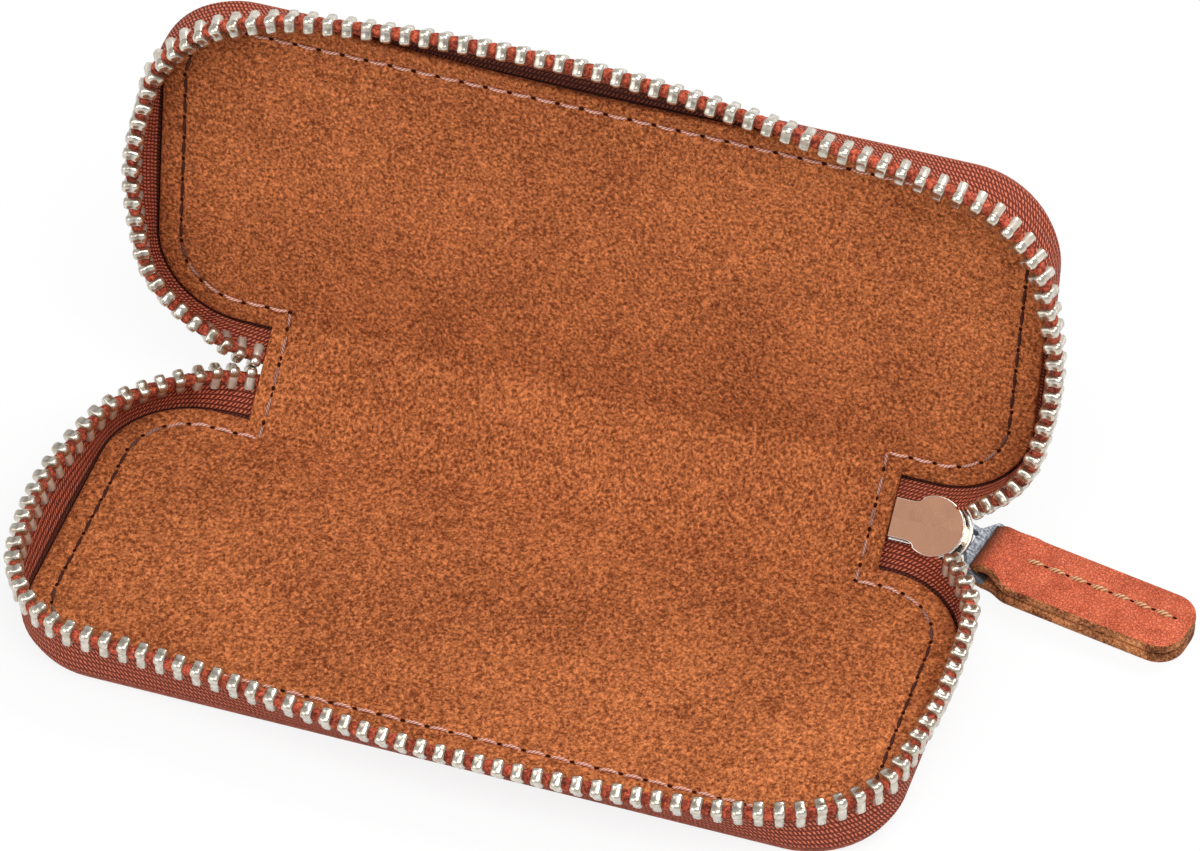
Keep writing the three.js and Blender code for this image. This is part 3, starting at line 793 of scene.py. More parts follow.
def sewSeam(name, lines, sizes, thread):
    stitch = makeStitch(f"{name}Stitch", sizes, thread)
    hole = makeHole(f"{name}Hole", sizes)
    source = pathObject(f"{name}Path", lines)
    values = {"Sink": sizes["sideSink"], "Stitch": stitch, "Hole": hole, "Thread": thread, "Dark": needleHoleShade}
    addTree(source, seamTree, {**values, **pick(sizes, "pitch", "jitter", "seed")})
    piece = plainCopy(source, name)
    for helper in (stitch, hole):
        bpy.data.objects.remove(helper)
    return piece


def makeSeams():
    neckX = spineHalf - case["neckSeamInset"]
    firstX = neckX + seam["pitch"] / 2
    drop = Vector((0, 0, case["leatherBottom"]))
    for body, halfFrame in halfFrames.items():
        turn = halfFrame.to_3x3()
        inside = turn @ upward
        ring = panelRing(body, case["seamInset"])
        ring = [(firstX, ring[0][1]), *ring[1:-1], (-firstX, ring[-1][1])]
        outline = [Vector((*point, 0)) for point in ring]
        inner, outer = [], []
        for point, along in zip(outline, waysAlong(outline)):
            # the sink share draws each stitch in and paints shade on it, most on the short sides
            inner.append({"place": halfFrame @ point, "seamUp": inside, "sink": abs(along.y) ** 2})
            outer.append({"place": halfFrame @ (point + drop), "seamUp": -inside, "sink": 0})
        panelSeam = sewSeam(f"{body}Seam", [inner, outer], seam, seamThread)
        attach(panelSeam, body)

        lines = []
        for side in (-1, 1):
            for layer, height, facing in ((lining, 0, 1), (leather, case["leatherBottom"], -1)):
                line = []
                for y, z, lean in neckRows(layer)[1:]:
                    normal = Vector((0, sin(lean), cos(lean)))
                    place = halfFrame @ (Vector((side * neckX, y, z)) + normal * height)
                    line.append({"place": place, "seamUp": turn @ normal * facing, "sink": seam["neckSink"]})
                lines.append(line)
        neckSeam = sewSeam(f"neckSeam{neckNames[body]}", lines, seam, seamThread)
        blendOverFold(neckSeam)
    print("seams sewn")


makeSeams()


# walls of the case: the zip tape stands on the panels' edge, and leans as the open case lets it
wall = {
    "offset": 0.55 * mm,  # sewn edge outside the lining
    "foot": -1.25 * mm,  # sewn edge below the lining's face
    "height": 7.2 * mm,  # sewn edge to the middle of the tooth heads
    "frontEase": 8 * mm,
    # degrees outward at: neck, rear corner, side, front corner, front near the corner, front middle, and back
    "lean": {
        "base": [10, -14, 22, 2, 6, 34, 23, -6, 11, 6, 10],
        "lid": [0, -2, 21, -13, 10, 43, 26, -13, 12, -15, -4],
    },
    # from the zip's middle to a row of teeth, where both go into the spine
    "rowHalfGap": {"left": 0.75 * mm, "right": 1.3 * mm},
    "rowDepth": -1.15 * mm,
    "zipMiddle": 7.4 * mm,  # up the spine
    "endStart": -2 * mm,  # the tape goes on under the spine's lining
}
# loose ends beside the spine: length along the edge, and where the teeth begin
looseEnds = {
    "base": {"left": {"run": 8 * mm, "teeth": 0.3 * mm}, "right": {"run": 12 * mm, "teeth": 8.4 * mm}},
    "lid": {"left": {"run": 8 * mm, "teeth": 0.3 * mm}, "right": {"run": 14.5 * mm, "teeth": 10.4 * mm}},
}
# which end of a half is at its own +x, and how far up the spine its teeth reach
halves = {
    "base": {"plus": "left", "minus": "right", "reach": wall["zipMiddle"]},
    "lid": {"plus": "right", "minus": "left", "reach": spineHeight - wall["zipMiddle"]},
}
edgeHalf = case["length"] / 2 + wall["offset"]
edgeRadius = case["corner"] + wall["offset"]
edgeRear = -case["foldInset"] - wall["offset"]
edgeFront = case["depth"] - case["foldInset"] + wall["offset"]
neckRun = edgeHalf - edgeRadius - spineHalf
cornerRun = edgeRadius * pi / 2
sideRun = edgeFront - edgeRear - 2 * edgeRadius
halfRun = neckRun + 2 * cornerRun + sideRun + edgeHalf - edgeRadius  # to the front's middle
edgeRun = {body: 2 * (halfRun - drawIn) for body, drawIn in case["drawIn"].items()}


# place and outward direction on the sewn edge, walking from the neck at +x round to the neck at -x
def edgeAt(body, station):
    mirrored = station > halfRun
    run = edgeRun[body] - station if mirrored else station
    trim = case["drawIn"][body] if mirrored else 0
    cornerX = edgeHalf - edgeRadius - trim
    rearCorner = run - neckRun + trim
    side = rearCorner - cornerRun
    frontCorner = side - sideRun
    front = frontCorner - cornerRun
    if front > 0:
        place, out = Vector((cornerX - front, edgeFront, 0)), Vector((0, 1, 0))
    elif frontCorner > 0 or rearCorner > 0 >= side:
        turn = frontCorner / edgeRadius if frontCorner > 0 else rearCorner / edgeRadius - pi / 2
        centreY = edgeFront - edgeRadius if frontCorner > 0 else edgeRear + edgeRadius
        out = Vector((cos(turn), sin(turn), 0))
        place = Vector((cornerX, centreY, 0)) + out * edgeRadius
    elif side > 0:
        place, out = Vector((cornerX + edgeRadius, edgeRear + edgeRadius + side, 0)), Vector((1, 0, 0))
    else:
        place, out = Vector((spineHalf + run, edgeRear, 0)), Vector((0, -1, 0))
    if mirrored:
        place.x, out.x = -place.x, -out.x
    return place, out


# where a wall's lean is given
def leanStations(body):
    ways = []
    for neck in (neckRun, neckRun - case["drawIn"][body]):
        sideStart = neck + cornerRun
        frontCorner = sideStart + sideRun + cornerRun / 2
        way = [0, neck + cornerRun / 2, sideStart + sideRun / 2, frontCorner]
        ways.append(way + [frontCorner + cornerRun / 2 + wall["frontEase"]])
    return [*ways[0], halfRun, *[edgeRun[body] - station for station in reversed(ways[1])]]


leanPlaces = {body: leanStations(body) for body in halves}


# smooth lean between the places where it is known
def leanAt(body, station):
    leans, places = wall["lean"][body], leanPlaces[body]

    def slope(index):
        before, after = max(index - 1, 0), min(index + 1, len(leans) - 1)
        return (leans[after] - leans[before]) / (places[after] - places[before])

    index = 0
    while index + 2 < len(places) and station > places[index + 1]:
        index += 1
    run = places[index + 1] - places[index]
    t = (station - places[index]) / run
    start = leans[index] * (1 + 2 * t) * (1 - t) ** 2 + slope(index) * run * t * (1 - t) ** 2
    end = leans[index + 1] * (3 - 2 * t) * t**2 - slope(index + 1) * run * (1 - t) * t**2
    return radians(start + end)


# the tape's rib at a station: its foot, and the vectors that bend it to its top
def ribAt(body, station):
    half = halves[body]
    plus, minus = looseEnds[body][half["plus"]], looseEnds[body][half["minus"]]
    loose = smoothStep(1 - station / plus["run"]) + smoothStep(1 - (edgeRun[body] - station) / minus["run"])
    side = half["plus"] if station < halfRun else half["minus"]
    along = half["reach"] - wall["rowHalfGap"][side]
    targetOut = edgeRear + cos(foldTurn) * along - sin(foldTurn) * wall["rowDepth"]
    targetUp = sin(foldTurn) * along + cos(foldTurn) * wall["rowDepth"] - wall["foot"]
    place, out = edgeAt(body, station)
    lean = leanAt(body, station)
    outward = max(lean, 0)
    target = out * targetOut + upward * targetUp
    top = (out * sin(lean) + upward * cos(lean)) * wall["height"]
    middle = (out * sin(outward) + upward * cos(outward)) * wall["height"] / 2
    turn = halfFrames[body].to_3x3()
    return {
        "place": halfFrames[body] @ (place + upward * wall["foot"]),
        "ribOut": turn @ out,
        "ribBend": turn @ middle.lerp(target / 2, loose),
        "ribTop": turn @ top.lerp(target, loose),
        "loose": loose,
        "station": station,
    }


def onRib(rib, height):
    t = height / wall["height"]
    spot = rib["place"] + rib["ribBend"] * (2 * t * (1 - t)) + rib["ribTop"] * (t * t)
    up = rib["ribBend"] * (1 - 2 * t) + rib["ribTop"] * t
    return spot, up.normalized()


# a stretch of wall: where its tape runs, where its teeth run, its place in the name, and its solids
def wallStretches(body):
    plus, minus = halves[body]["plus"], halves[body]["minus"]
    plusEnd, minusEnd = looseEnds[body][plus], looseEnds[body][minus]
    whole = edgeRun[body]
    first, last = plusEnd["run"], whole - minusEnd["run"]
    return [
        {"label": "", "node": "zip_{}", "tape": (first, last), "teeth": (first, last), "end": None},
        {"label": plus.capitalize(), "node": f"{{}}_end_{plus}", "tape": (wall["endStart"], first),
         "teeth": (plusEnd["teeth"], first), "end": first},
        {"label": minus.capitalize(), "node": f"{{}}_end_{minus}", "tape": (last, whole - wall["endStart"]),
         "teeth": (last, whole - minusEnd["teeth"]), "end": last},
    ]


def ribsAlong(body, span, step):
    start, run = span[0], span[1] - span[0]
    count = max(ceil(run / step), 2)
    return [ribAt(body, start + run * index / count) for index in range(count + 1)]


# the main stretch rides with its half; a loose end beside the spine has its transform baked into its mesh
def carry(piece, body, stretch):
    if stretch["end"] is None:
        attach(piece, body)
        return
    far = halfFrames[body] @ edgeAt(body, stretch["end"])[0]
    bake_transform(piece)


tape = {
    "height": 5.95 * mm,
    "endHeight": 5.4 * mm,  # of the loose ends, which clear the slider
    "flange": 2 * mm,
    "thickness": 0.5 * mm,
    "rows": 14,
    "step": 1.2 * mm,
}


# sweeps the bent rib along the sewn edge: rise is the height on the rib, below zero the sewn flange
def makeTapeTree():
    inputs = {"Height": "Float", "Flange": "Float", "Wall": "Float", "Rows": "Int", "Weave": "Material"}
    tree, source, target, curve = newShape("zipTapeTree", inputs)
    line = shape(tree, "CurvePrimitiveLine", {"End": (0, 0, 1)})
    line = shape(tree, "ResampleCurve", {"Curve": line, "Count": source["Rows"]})
    factor = addNode(tree, "GeometryNodeSplineParameter")["Factor"]
    rise = remap(tree, factor, 0, 1, multiply(tree, source["Flange"], -1), source["Height"])
    line = shape(tree, "StoreNamedAttribute", {"Geometry": line, "Name": "rise", "Value": rise})
    sheet = shape(tree, "CurveToMesh", {"Curve": curve, "Profile Curve": line})

    rise = named(tree, "rise", "FLOAT")
    t = divide(tree, calc(tree, "MAXIMUM", rise, 0), source["Wall"])
    shares = {
        "ribBend": multiply(tree, multiply(tree, t, 2), subtract(tree, 1, t)),
        "ribTop": multiply(tree, t, t),
        "ribOut": calc(tree, "MINIMUM", rise, 0),
    }
    spot = named(tree, "place")
    for name, share in shares.items():
        spot = calcVector(tree, "ADD", spot, scaled(tree, named(tree, name), share))
    sheet = shape(tree, "SetPosition", {"Geometry": sheet, "Position": spot})
    uv = addNode(tree, "ShaderNodeCombineXYZ", {"X": named(tree, "station", "FLOAT"), "Y": rise})[0]
    inputs = {"Geometry": sheet, "Name": "tapeUv", "Value": uv}
    sheet = shape(tree, "StoreNamedAttribute", inputs, data_type="FLOAT2", domain="CORNER")
    smooth = shape(tree, "SetShadeSmooth", {"Geometry": sheet})
    connect(tree, target, {"Geometry": dress(tree, smooth, source["Weave"])})
    return tree


def makeTapes():
    tapeTree = makeTapeTree()
    values = {**pick(tape, "flange", "rows"), "Wall": wall["height"], "Weave": tapeWeave}
    for body in halves:
        middle = halfFrames[body] @ Vector((0, case["depth"] / 2 - case["foldInset"], 0))
        for stretch in wallStretches(body):
            source = pathObject("tapePath", [ribsAlong(body, stretch["tape"], tape["step"])])
            height = tape["height"] if stretch["end"] is None else tape["endHeight"]
            addTree(source, tapeTree, {"Height": height, **values})
            solid = source.modifiers.new("thickness", "SOLIDIFY")
            solid.thickness = tape["thickness"]
            solid.offset = 0
            piece = plainCopy(source, f"{body}Tape{stretch['label']}")
            piece.data.materials.append(tapeInside)
            # faces towards the case's middle take the copy with painted shade at the foot
            for polygon in piece.data.polygons:
                polygon.material_index = int(polygon.normal.dot(middle - polygon.center) > 0)
            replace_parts(piece, f"{body}_" + stretch["node"].format("tape"))
            carry(piece, body, stretch)
    print("zip tapes ready")


makeTapes()


# teeth, clamped on the cord along the tape's free edge
teeth = {
    "pitch": 2.4 * mm,
    "seat": 6.25 * mm,  # middle of the cord, up the rib
    "roll": {"base": 0, "lid": radians(18)},  # turned inward on the cord
    "step": 0.4 * mm,
    # height over the cord's middle, half depth across the tape, half width along it, roundness, and painted
    # crease shade
    "levels": [(-1.3, 0.95, 0.54, 0.45, 0.2), (-1.2, 1.02, 0.6, 0.45, 0), (0.2, 1.02, 0.6, 0.45, 0),
               (0.4, 1.02, 0.61, 0.45, 0.25), (0.6, 1.12, 0.7, 0.48, 0), (0.9, 1.16, 0.74, 0.5, 0),
               (1.22, 1.12, 0.72, 0.52, 0), (1.5, 0.94, 0.62, 0.55, 0), (1.62, 0.62, 0.42, 0.6, 0)],
    "sides": 12,
    "legTop": 0.3,  # the duller legs end below the head
    "dip": 0.24,  # between the two lobes of the head
    "dipStart": 0.85,
    # painted shade in the dip between the lobes, per mm the dip goes down
    "dipShade": 2.2,
    "sharpAngle": 55,
    "jitter": radians(2),
    "seed": 5,
}
cord = {"radius": 0.7 * mm, "bulge": 0.22, "sides": 12}


def makeTooth():
    rings, creaseShade, leg = [], [], []
    sides = teeth["sides"]
    for height, across, along, roundness, levelShade in teeth["levels"]:
        ring = []
        for turn in turnsRound(sides):
            x, y = [copysign(abs(part) ** roundness, part) for part in (cos(turn), sin(turn))]
            low = teeth["dip"] * max(height - teeth["dipStart"], 0) * (1 - abs(y)) ** 2
            ring.append((x * along * mm, y * across * mm, (height - low) * mm))
            # painted shade at the foot, at the waist and in the dip of the head
            creaseShade.append(levelShade + teeth["dipShade"] * low)
            leg.append(float(height < teeth["legTop"]))
        rings.append(ring)
    points, faces = loft(rings)
    top = faces.pop()
    faces += [top[: sides // 2 + 1], top[sides // 2 :] + top[:1]]
    mesh = newMesh("tooth", points, faces)
    setNumbers(mesh, "creaseShade", creaseShade)
    setNumbers(mesh, "leg", leg)
    shadeSmooth(mesh, teeth["sharpAngle"])
    return linkObject("tooth", mesh)


def makeTeethTree():
    inputs = {"Count": "Int", "Tooth": "Object", "Metal": "Material", "Jitter": "Float", "Seed": "Int"}
    tree, source, target, curve = newShape("zipTeethTree", inputs)
    spots = shape(tree, "ResampleCurve", {"Curve": curve, "Count": source["Count"]})
    turn = turnAlong(tree, "toothUp", source["Jitter"], source["Seed"])
    connect(tree, target, {"Geometry": copiesAt(tree, spots, source["Tooth"], turn, source["Metal"])})
    return tree


def makeCordTree():
    inputs = {"Radius": "Float", "Sides": "Int", "Weave": "Material"}
    tree, source, target, curve = newShape("zipCordTree", inputs)
    circle = shape(tree, "CurvePrimitiveCircle", {"Resolution": source["Sides"], "Radius": source["Radius"]})
    swell = named(tree, "swell", "FLOAT")
    inputs = {"Curve": curve, "Profile Curve": circle, "Scale": swell, "Fill Caps": True}
    smooth = shape(tree, "SetShadeSmooth", {"Geometry": shape(tree, "CurveToMesh", inputs)})
    connect(tree, target, {"Geometry": dress(tree, smooth, source["Weave"])})
    return tree


# spots along the cord with their distance from its start
def cordLine(body, span):
    line = []
    travelled = 0
    for rib in ribsAlong(body, span, teeth["step"]):
        place, up = onRib(rib, teeth["seat"])
        if line:
            travelled += (place - line[-1]["place"]).length
        roll = tan(teeth["roll"][body]) * (1 - rib["loose"])
        line.append({"place": place, "toothUp": up - rib["ribOut"] * roll, "travelled": travelled})
    return line


# the line without its first and last stretch
def trimLine(line, trim):
    total = line[-1]["travelled"]

    def spotAt(distance):
        after = next(index for index, spot in enumerate(line) if spot["travelled"] >= distance)
        low, high = line[after - 1], line[after]
        share = (distance - low["travelled"]) / (high["travelled"] - low["travelled"])
        spot = {key: low[key].lerp(high[key], share) for key in ("place", "toothUp")}
        return {**spot, "travelled": distance}

    inner = [spot for spot in line if trim < spot["travelled"] < total - trim]
    return [spotAt(trim), *inner, spotAt(total - trim)]


def makeTeeth():
    tooth = makeTooth()
    teethTree = makeTeethTree()
    cordTree = makeCordTree()
    toothValues = {**pick(teeth, "jitter", "seed"), "Tooth": tooth, "Metal": toothNickel}
    cordValues = {**pick(cord, "radius", "sides"), "Weave": cordYarn}
    for body in halves:
        for stretch in wallStretches(body):
            line = cordLine(body, stretch["teeth"])
            count = max(round(line[-1]["travelled"] / teeth["pitch"]), 2)
            pitch = line[-1]["travelled"] / count
            source = pathObject("teethPath", [trimLine(line, pitch / 2)])
            addTree(source, teethTree, {"Count": count, **toothValues})
            row = plainCopy(source, f"{body}Teeth{stretch['label']}")
            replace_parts(row, f"{body}_" + stretch["node"].format("teeth"))
            carry(row, body, stretch)

            for spot in line:
                spot["swell"] = 1 + cord["bulge"] * cos(2 * pi * spot["travelled"] / pitch)
            source = pathObject("cordPath", [line])
            addTree(source, cordTree, cordValues)
            bead = plainCopy(source, f"{body}Cord{stretch['label']}")
            carry(bead, body, stretch)
    bpy.data.objects.remove(tooth)
    print("teeth ready")


makeTeeth()


# slider: two plates on a wedge, with side flanges and a bail under it
slider = {
    "place": (40.9 * mm, 7.4 * mm, 0.8 * mm),  # narrow end, middle and inner face, in the spine's frame
    "plate": 0.9 * mm,
    "channel": 2.1 * mm,
    "ridge": 0.12 * mm,
    "narrowHalf": 2.5 * mm,
    "waist": (1.9 * mm, 3.15 * mm),
    "waistSteps": 6,
    "innerHead": (5.2 * mm, 3.8 * mm),  # middle and radius
    "outerHead": (5.6 * mm, 4 * mm),
    "headSteps": 16,
    "flange": (1.5 * mm, 0.5 * mm, 0.55 * mm),  # length, thickness, height
    "wedge": [(5.2, 0), (6.6, 1.05), (8.3, 1.25), (8.6, 0.8), (8.6, -0.8), (8.3, -1.25), (6.6, -1.05)],
    "overlap": 0.2 * mm,  # pieces go into each other
    "bail": (4.7 * mm, 8.4 * mm, 3.5 * mm),  # its two feet and its stand, to the wire's middle
    "bailCorner": 1.1 * mm,
    "bailSteps": 6,
    "wire": 0.5 * mm,
    "wireSides": 10,
    "bevel": 0.15 * mm,
    "bevelSegments": 3,
    "bevelAngle": 40,  # sharper edges are eased
    "flatAngle": 3,
}


def plateOutline(centre, radius):
    half = slider["narrowHalf"]
    waistStart, waistEnd = slider["waist"]
    shoulder = asin((centre - waistEnd) / radius) + pi / 2
    shoulderHalf = radius * sin(shoulder)
    lower = [(0, -half)]
    for step in range(slider["waistSteps"] + 1):
        t = step / slider["waistSteps"]
        x = waistStart * (1 - t) ** 2 + waistEnd * (2 * t * (1 - t) + t * t)
        y = half * (1 - t) ** 2 + half * 2 * t * (1 - t) + shoulderHalf * t * t
        lower.append((x, -y))
    lower += arc((centre, 0), radius, -shoulder, 0, slider["headSteps"])[1:]
    return lower, [(x, -y) for x, y in reversed(lower[:-1])]


# a plate in two halves that meet at a ridge along its middle
def addPlate(shell, head, bottom, top, ridge, face):
    lower, upper = plateOutline(*head)
    middle = (0, 0)  # of the narrow end
    loop = [*lower, *upper, middle]
    tops, bottoms = {}, {}
    for x, y in loop:
        rise = ridge if y == 0 else 0
        tops[x, y] = shell.verts.new((x, y, top + rise))
        bottoms[x, y] = shell.verts.new((x, y, bottom))
    for side in (lower, [lower[-1], *upper]):
        shell.faces.new([tops[point] for point in [*side, middle]]).material_index = face
    shell.faces.new([bottoms[point] for point in reversed(loop)])
    for point, after in zip(loop, loop[1:] + loop[:1]):
        shell.faces.new([tops[point], bottoms[point], bottoms[after], tops[after]])


# closed skin over rings of corners that the shell already has
def addSkin(shell, rings):
    size = len(rings[0])
    for ring, after in zip(rings, rings[1:]):
        for side in range(size):
            nextSide = (side + 1) % size
            shell.faces.new([ring[side], ring[nextSide], after[nextSide], after[side]])
    shell.faces.new(list(reversed(rings[0])))
    shell.faces.new(rings[-1])


def addPrism(shell, outline, bottom, top):
    addSkin(shell, [[shell.verts.new((x, y, z)) for x, y in outline] for z in (bottom, top)])


def addTube(shell, path, radius, sides):
    across = Vector((0, 1, 0))
    rings = []
    for point, along in zip(path, waysAlong(path)):
        normal = along.cross(across).normalized()
        spokes = [across * cos(turn) + normal * sin(turn) for turn in turnsRound(sides)]
        rings.append([shell.verts.new(point + spoke * radius) for spoke in spokes])
    addSkin(shell, rings)


def finishShell(shell, name, place, materials):
    bmesh.ops.recalc_face_normals(shell, faces=shell.faces)
    eased = shell.edges.layers.float.new("bevel_weight_edge")
    for edge in shell.edges:
        hidden = max(vert.co.x for vert in edge.verts) < slider["bevel"]
        angle = degrees(edge.calc_face_angle(0))
        edge[eased] = 1 if angle > slider["bevelAngle"] and not hidden else 0
        edge.smooth = angle < slider["flatAngle"] or edge[eased] == 1
    mesh = newMesh(f"{name}Blank", [], [], materials)
    shell.to_mesh(mesh)
    shell.free()
    mesh.shade_smooth()
    source = linkObject(f"{name}Blank", mesh)
    edge = source.modifiers.new("edge", "BEVEL")
    edge.width = slider["bevel"]
    edge.segments = slider["bevelSegments"]
    edge.limit_method = "WEIGHT"
    edge.harden_normals = True
    edge.material = 0
    piece = plainCopy(source, name)
    piece.data.transform(place)
    return piece


def makeSlider():
    shell = bmesh.new()
    channelTop = -slider["plate"]
    channelBottom = channelTop - slider["channel"]
    outerFace = channelBottom - slider["plate"]
    overlap = slider["overlap"]
    addPlate(shell, slider["innerHead"], channelTop, 0, slider["ridge"], 1)
    addPlate(shell, slider["outerHead"], outerFace, channelBottom, 0, 0)
    addPrism(shell, inMetres(slider["wedge"]), channelBottom - overlap, channelTop + overlap)
    length, thickness, height = slider["flange"]
    for side in (-1, 1):
        outer, inner = side * slider["narrowHalf"], side * (slider["narrowHalf"] - thickness)
        outline = [(0, outer), (length, outer), (length, inner), (0, inner)]
        addPrism(shell, outline, channelTop - height, channelTop + overlap)
        addPrism(shell, outline, channelBottom - overlap, channelBottom + height)
    footStart, footEnd, stand = slider["bail"]
    corner, steps = slider["bailCorner"], slider["bailSteps"]
    bend = outerFace - stand + corner
    arch = [(footStart, outerFace + overlap)]
    arch += arc((footStart + corner, bend), corner, pi, 1.5 * pi, steps)
    arch += arc((footEnd - corner, bend), corner, 1.5 * pi, 2 * pi, steps)
    arch += [(footEnd, outerFace + overlap)]
    addTube(shell, [Vector((x, 0, z)) for x, z in arch], slider["wire"], slider["wireSides"])
    place = spineFrame @ Matrix.Translation(slider["place"])
    piece = finishShell(shell, "sliderBody", place, [sliderNickel, sliderFace])
    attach(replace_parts(piece, "slider_body"), "slider")
    print("slider ready")


makeSlider()


# pull: a stamped link between the bail and the leather tab
link = {
    "spacing": pullRun.length,
    "bar": 1 * mm,
    "nearHalf": 2.1 * mm,
    "farHalf": 4.6 * mm,
    "web": (2.8 * mm, 4.2 * mm),
    "holeHalf": 1.3 * mm,
    "slotHalf": 4 * mm,
    "thickness": 0.9 * mm,
    "corner": 0.45 * mm,
    "holeCorner": 0.3 * mm,
    "cornerSteps": 4,
    "bevel": 0.06 * mm,
    "bevelSteps": 2,
    "weldGap": 0.005 * mm,
    "sharpAngle": 35,
}


def roundCorners(points, radius, steps):
    rounded = []
    for index, point in enumerate(points):
        here = Vector(point)
        before = (Vector(points[index - 1]) - here).normalized()
        after = (Vector(points[(index + 1) % len(points)]) - here).normalized()
        start, end = here + before * radius, here + after * radius
        for step in range(steps + 1):
            t = step / steps
            rounded.append(start * (1 - t) ** 2 + here * 2 * t * (1 - t) + end * t * t)
    return rounded


def rectangle(start, end, half):
    return [(start, -half), (end, -half), (end, half), (start, half)]


def makeLink():
    bar = link["bar"] / 2
    webStart, webEnd = link["web"]
    near, wide = link["nearHalf"], link["farHalf"]
    outline = [(-bar, -near), (webStart, -near), (webEnd, -wide), (link["spacing"] + bar, -wide)]
    outline += [(x, -y) for x, y in reversed(outline)]
    eye = rectangle(bar, webStart, link["holeHalf"])
    window = rectangle(webEnd, link["spacing"] - bar, link["slotHalf"])
    curve = bpy.data.curves.new("linkBlank", "CURVE")
    curve.dimensions = "2D"
    curve.fill_mode = "BOTH"
    curve.extrude = link["thickness"] / 2 - link["bevel"]
    curve.bevel_depth = link["bevel"]
    curve.bevel_resolution = link["bevelSteps"]
    curve.offset = -link["bevel"]
    corners = ((outline, link["corner"]), (eye, link["holeCorner"]), (window, link["holeCorner"]))
    for loop, radius in corners:
        points = roundCorners(loop, radius, link["cornerSteps"])
        spline = curve.splines.new("POLY")
        spline.points.add(len(points) - 1)
        for point, spot in zip(spline.points, points):
            point.co = (spot.x, spot.y, 0, 1)
        spline.use_cyclic_u = True
    piece = plainCopy(linkObject("linkBlank", curve), "pullLink")
    mesh = piece.data
    weld(mesh, link["weldGap"])
    mesh.transform(linkFrame)
    mesh.materials.clear()
    mesh.materials.append(linkMetal)
    shadeSmooth(mesh, link["sharpAngle"])
    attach(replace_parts(piece, "pull_link"), "link")
    print("link ready")


makeLink()


# tab: one strip of leather, folded round the link's far bar and sewn through
tab = {
    "length": 28 * mm,
    "half": 4.7 * mm,
    "foldHalf": 3.8 * mm,
    "taper": (0.6 * mm, 3.6 * mm),
    "corner": 3.4 * mm,
    "leather": 1.4 * mm,
    "slit": 0.2 * mm,
    "meet": 4.6 * mm,  # where the two layers come together
    "edge": 0.3 * mm,
    "edgeShare": 0.3,  # where the eased edge lies between flat and square
    "sharpAngle": 50,
    "bendShade": (-1.1 * mm, 0.5 * mm),  # painted shade where it bends round the far bar
    "darkening": 0.9,
    "steps": {"eye": 8, "straight": 4, "corner": 8, "fold": 12},
    "seam": (4.9 * mm, 22.2 * mm),
    "seamAside": 0.8 * mm,
    "thread": {"pitch": 2.88 * mm, "length": 2.25 * mm, "thread": 0.36 * mm, "arch": 0.2 * mm,
               "sunk": 0.12 * mm, "holeHalf": 0.2 * mm, "jitter": radians(6), "seed": 3},
}
tabUnder = -1.5 * tab["leather"]  # lower face, from the far bar
tabEnd = tab["length"] + tabUnder


# middle of the strip from one end round the fold to the other, in the frame of the far bar
def tabPath():
    fold, meet, corner, steps = tab["leather"], tab["meet"], tab["corner"], tab["steps"]
    upper = tab["slit"]  # where the two layers lie together
    cornerStart = tabEnd - corner
    run = [meet * step / steps["eye"] for step in range(1, steps["eye"] + 1)]
    run += [meet + (cornerStart - meet) * step / steps["straight"] for step in range(1, steps["straight"])]
    turns = [pi / 2 * step / steps["corner"] for step in range(steps["corner"] + 1)]
    run += [cornerStart + corner * sin(turn) for turn in turns]
    path = [(x, -fold) for x in reversed(run)]
    path += arc((0, 0), fold, 1.5 * pi, 0.5 * pi, steps["fold"])
    path += [(x, fold + (upper - fold) * smoothStep(x / meet)) for x in run]
    return [Vector(point) for point in path]


def tabHalfWidth(x):
    start, stop = tab["taper"]
    width = tab["foldHalf"] + (tab["half"] - tab["foldHalf"]) * smoothStep((x - start) / (stop - start))
    past = max(x - tabEnd + tab["corner"], 0)
    return width - tab["corner"] + sqrt(max(tab["corner"] ** 2 - past**2, 0))


def makeTab():
    path = tabPath()
    half = tab["leather"] / 2
    edge = tab["edge"]
    ease = tab["edgeShare"] * edge
    rings = []
    for point, along in zip(path, waysAlong(path)):
        inward = Vector((along.y, -along.x))
        width = tabHalfWidth(point.x)
        corner = [(width, half - edge), (width - ease, half - ease), (width - edge, half)]
        ring = corner + [(-y, h) for y, h in reversed(corner)]
        ring += [(-y, -h) for y, h in ring]
        spots = [(point.x + inward.x * h, y, point.y + inward.y * h) for y, h in ring]
        rings.append([tabFrame @ Vector(spot) for spot in spots])
    piece = buildMesh("pullTab", *loft(rings), [pullLeather, rawLeatherEdge], tab["sharpAngle"])
    size = len(rings[0])
    # share of painted shade on the bend: full round the fold, fading out just past the far bar
    bendStart, bendEnd = tab["bendShade"]
    shares = [tab["darkening"] * smoothStep((bendEnd - point.x) / (bendEnd - bendStart)) for point in path]
    setNumbers(piece.data, "bendShade", [share for share in shares for side in range(size)])
    grainSides = (7, 8, 9)  # outer face of the strip and its eased edges
    for polygon in piece.data.polygons:
        grain = polygon.index < (len(rings) - 1) * size and polygon.index % size in grainSides
        polygon.material_index = 0 if grain else 1
    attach(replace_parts(piece, "pull_tab"), "tab")

    lines = []
    for height, facing in ((half + tab["slit"], upward), (tabUnder, -upward)):
        places = [tabFrame @ Vector((x, tab["seamAside"], height)) for x in tab["seam"]]
        lines.append([{"place": place, "seamUp": facing, "sink": 0} for place in places])
    stitches = sewSeam("pullSeam", lines, {**seam, **tab["thread"]}, pullThread)
    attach(stitches, "tab")
    print("pull tab ready")


makeTab()


# solids that stay as they are, inside the case
carried = {"base_board": stiffBoard, "lid_board": stiffBoard}
carried.update({"zip_tail_left": tapeTail, "zip_tail_right": tapeTail})
for nodeName, material in carried.items():
    slots = frame["nodes"][nodeName].data.materials
    slots.clear()
    slots.append(material)


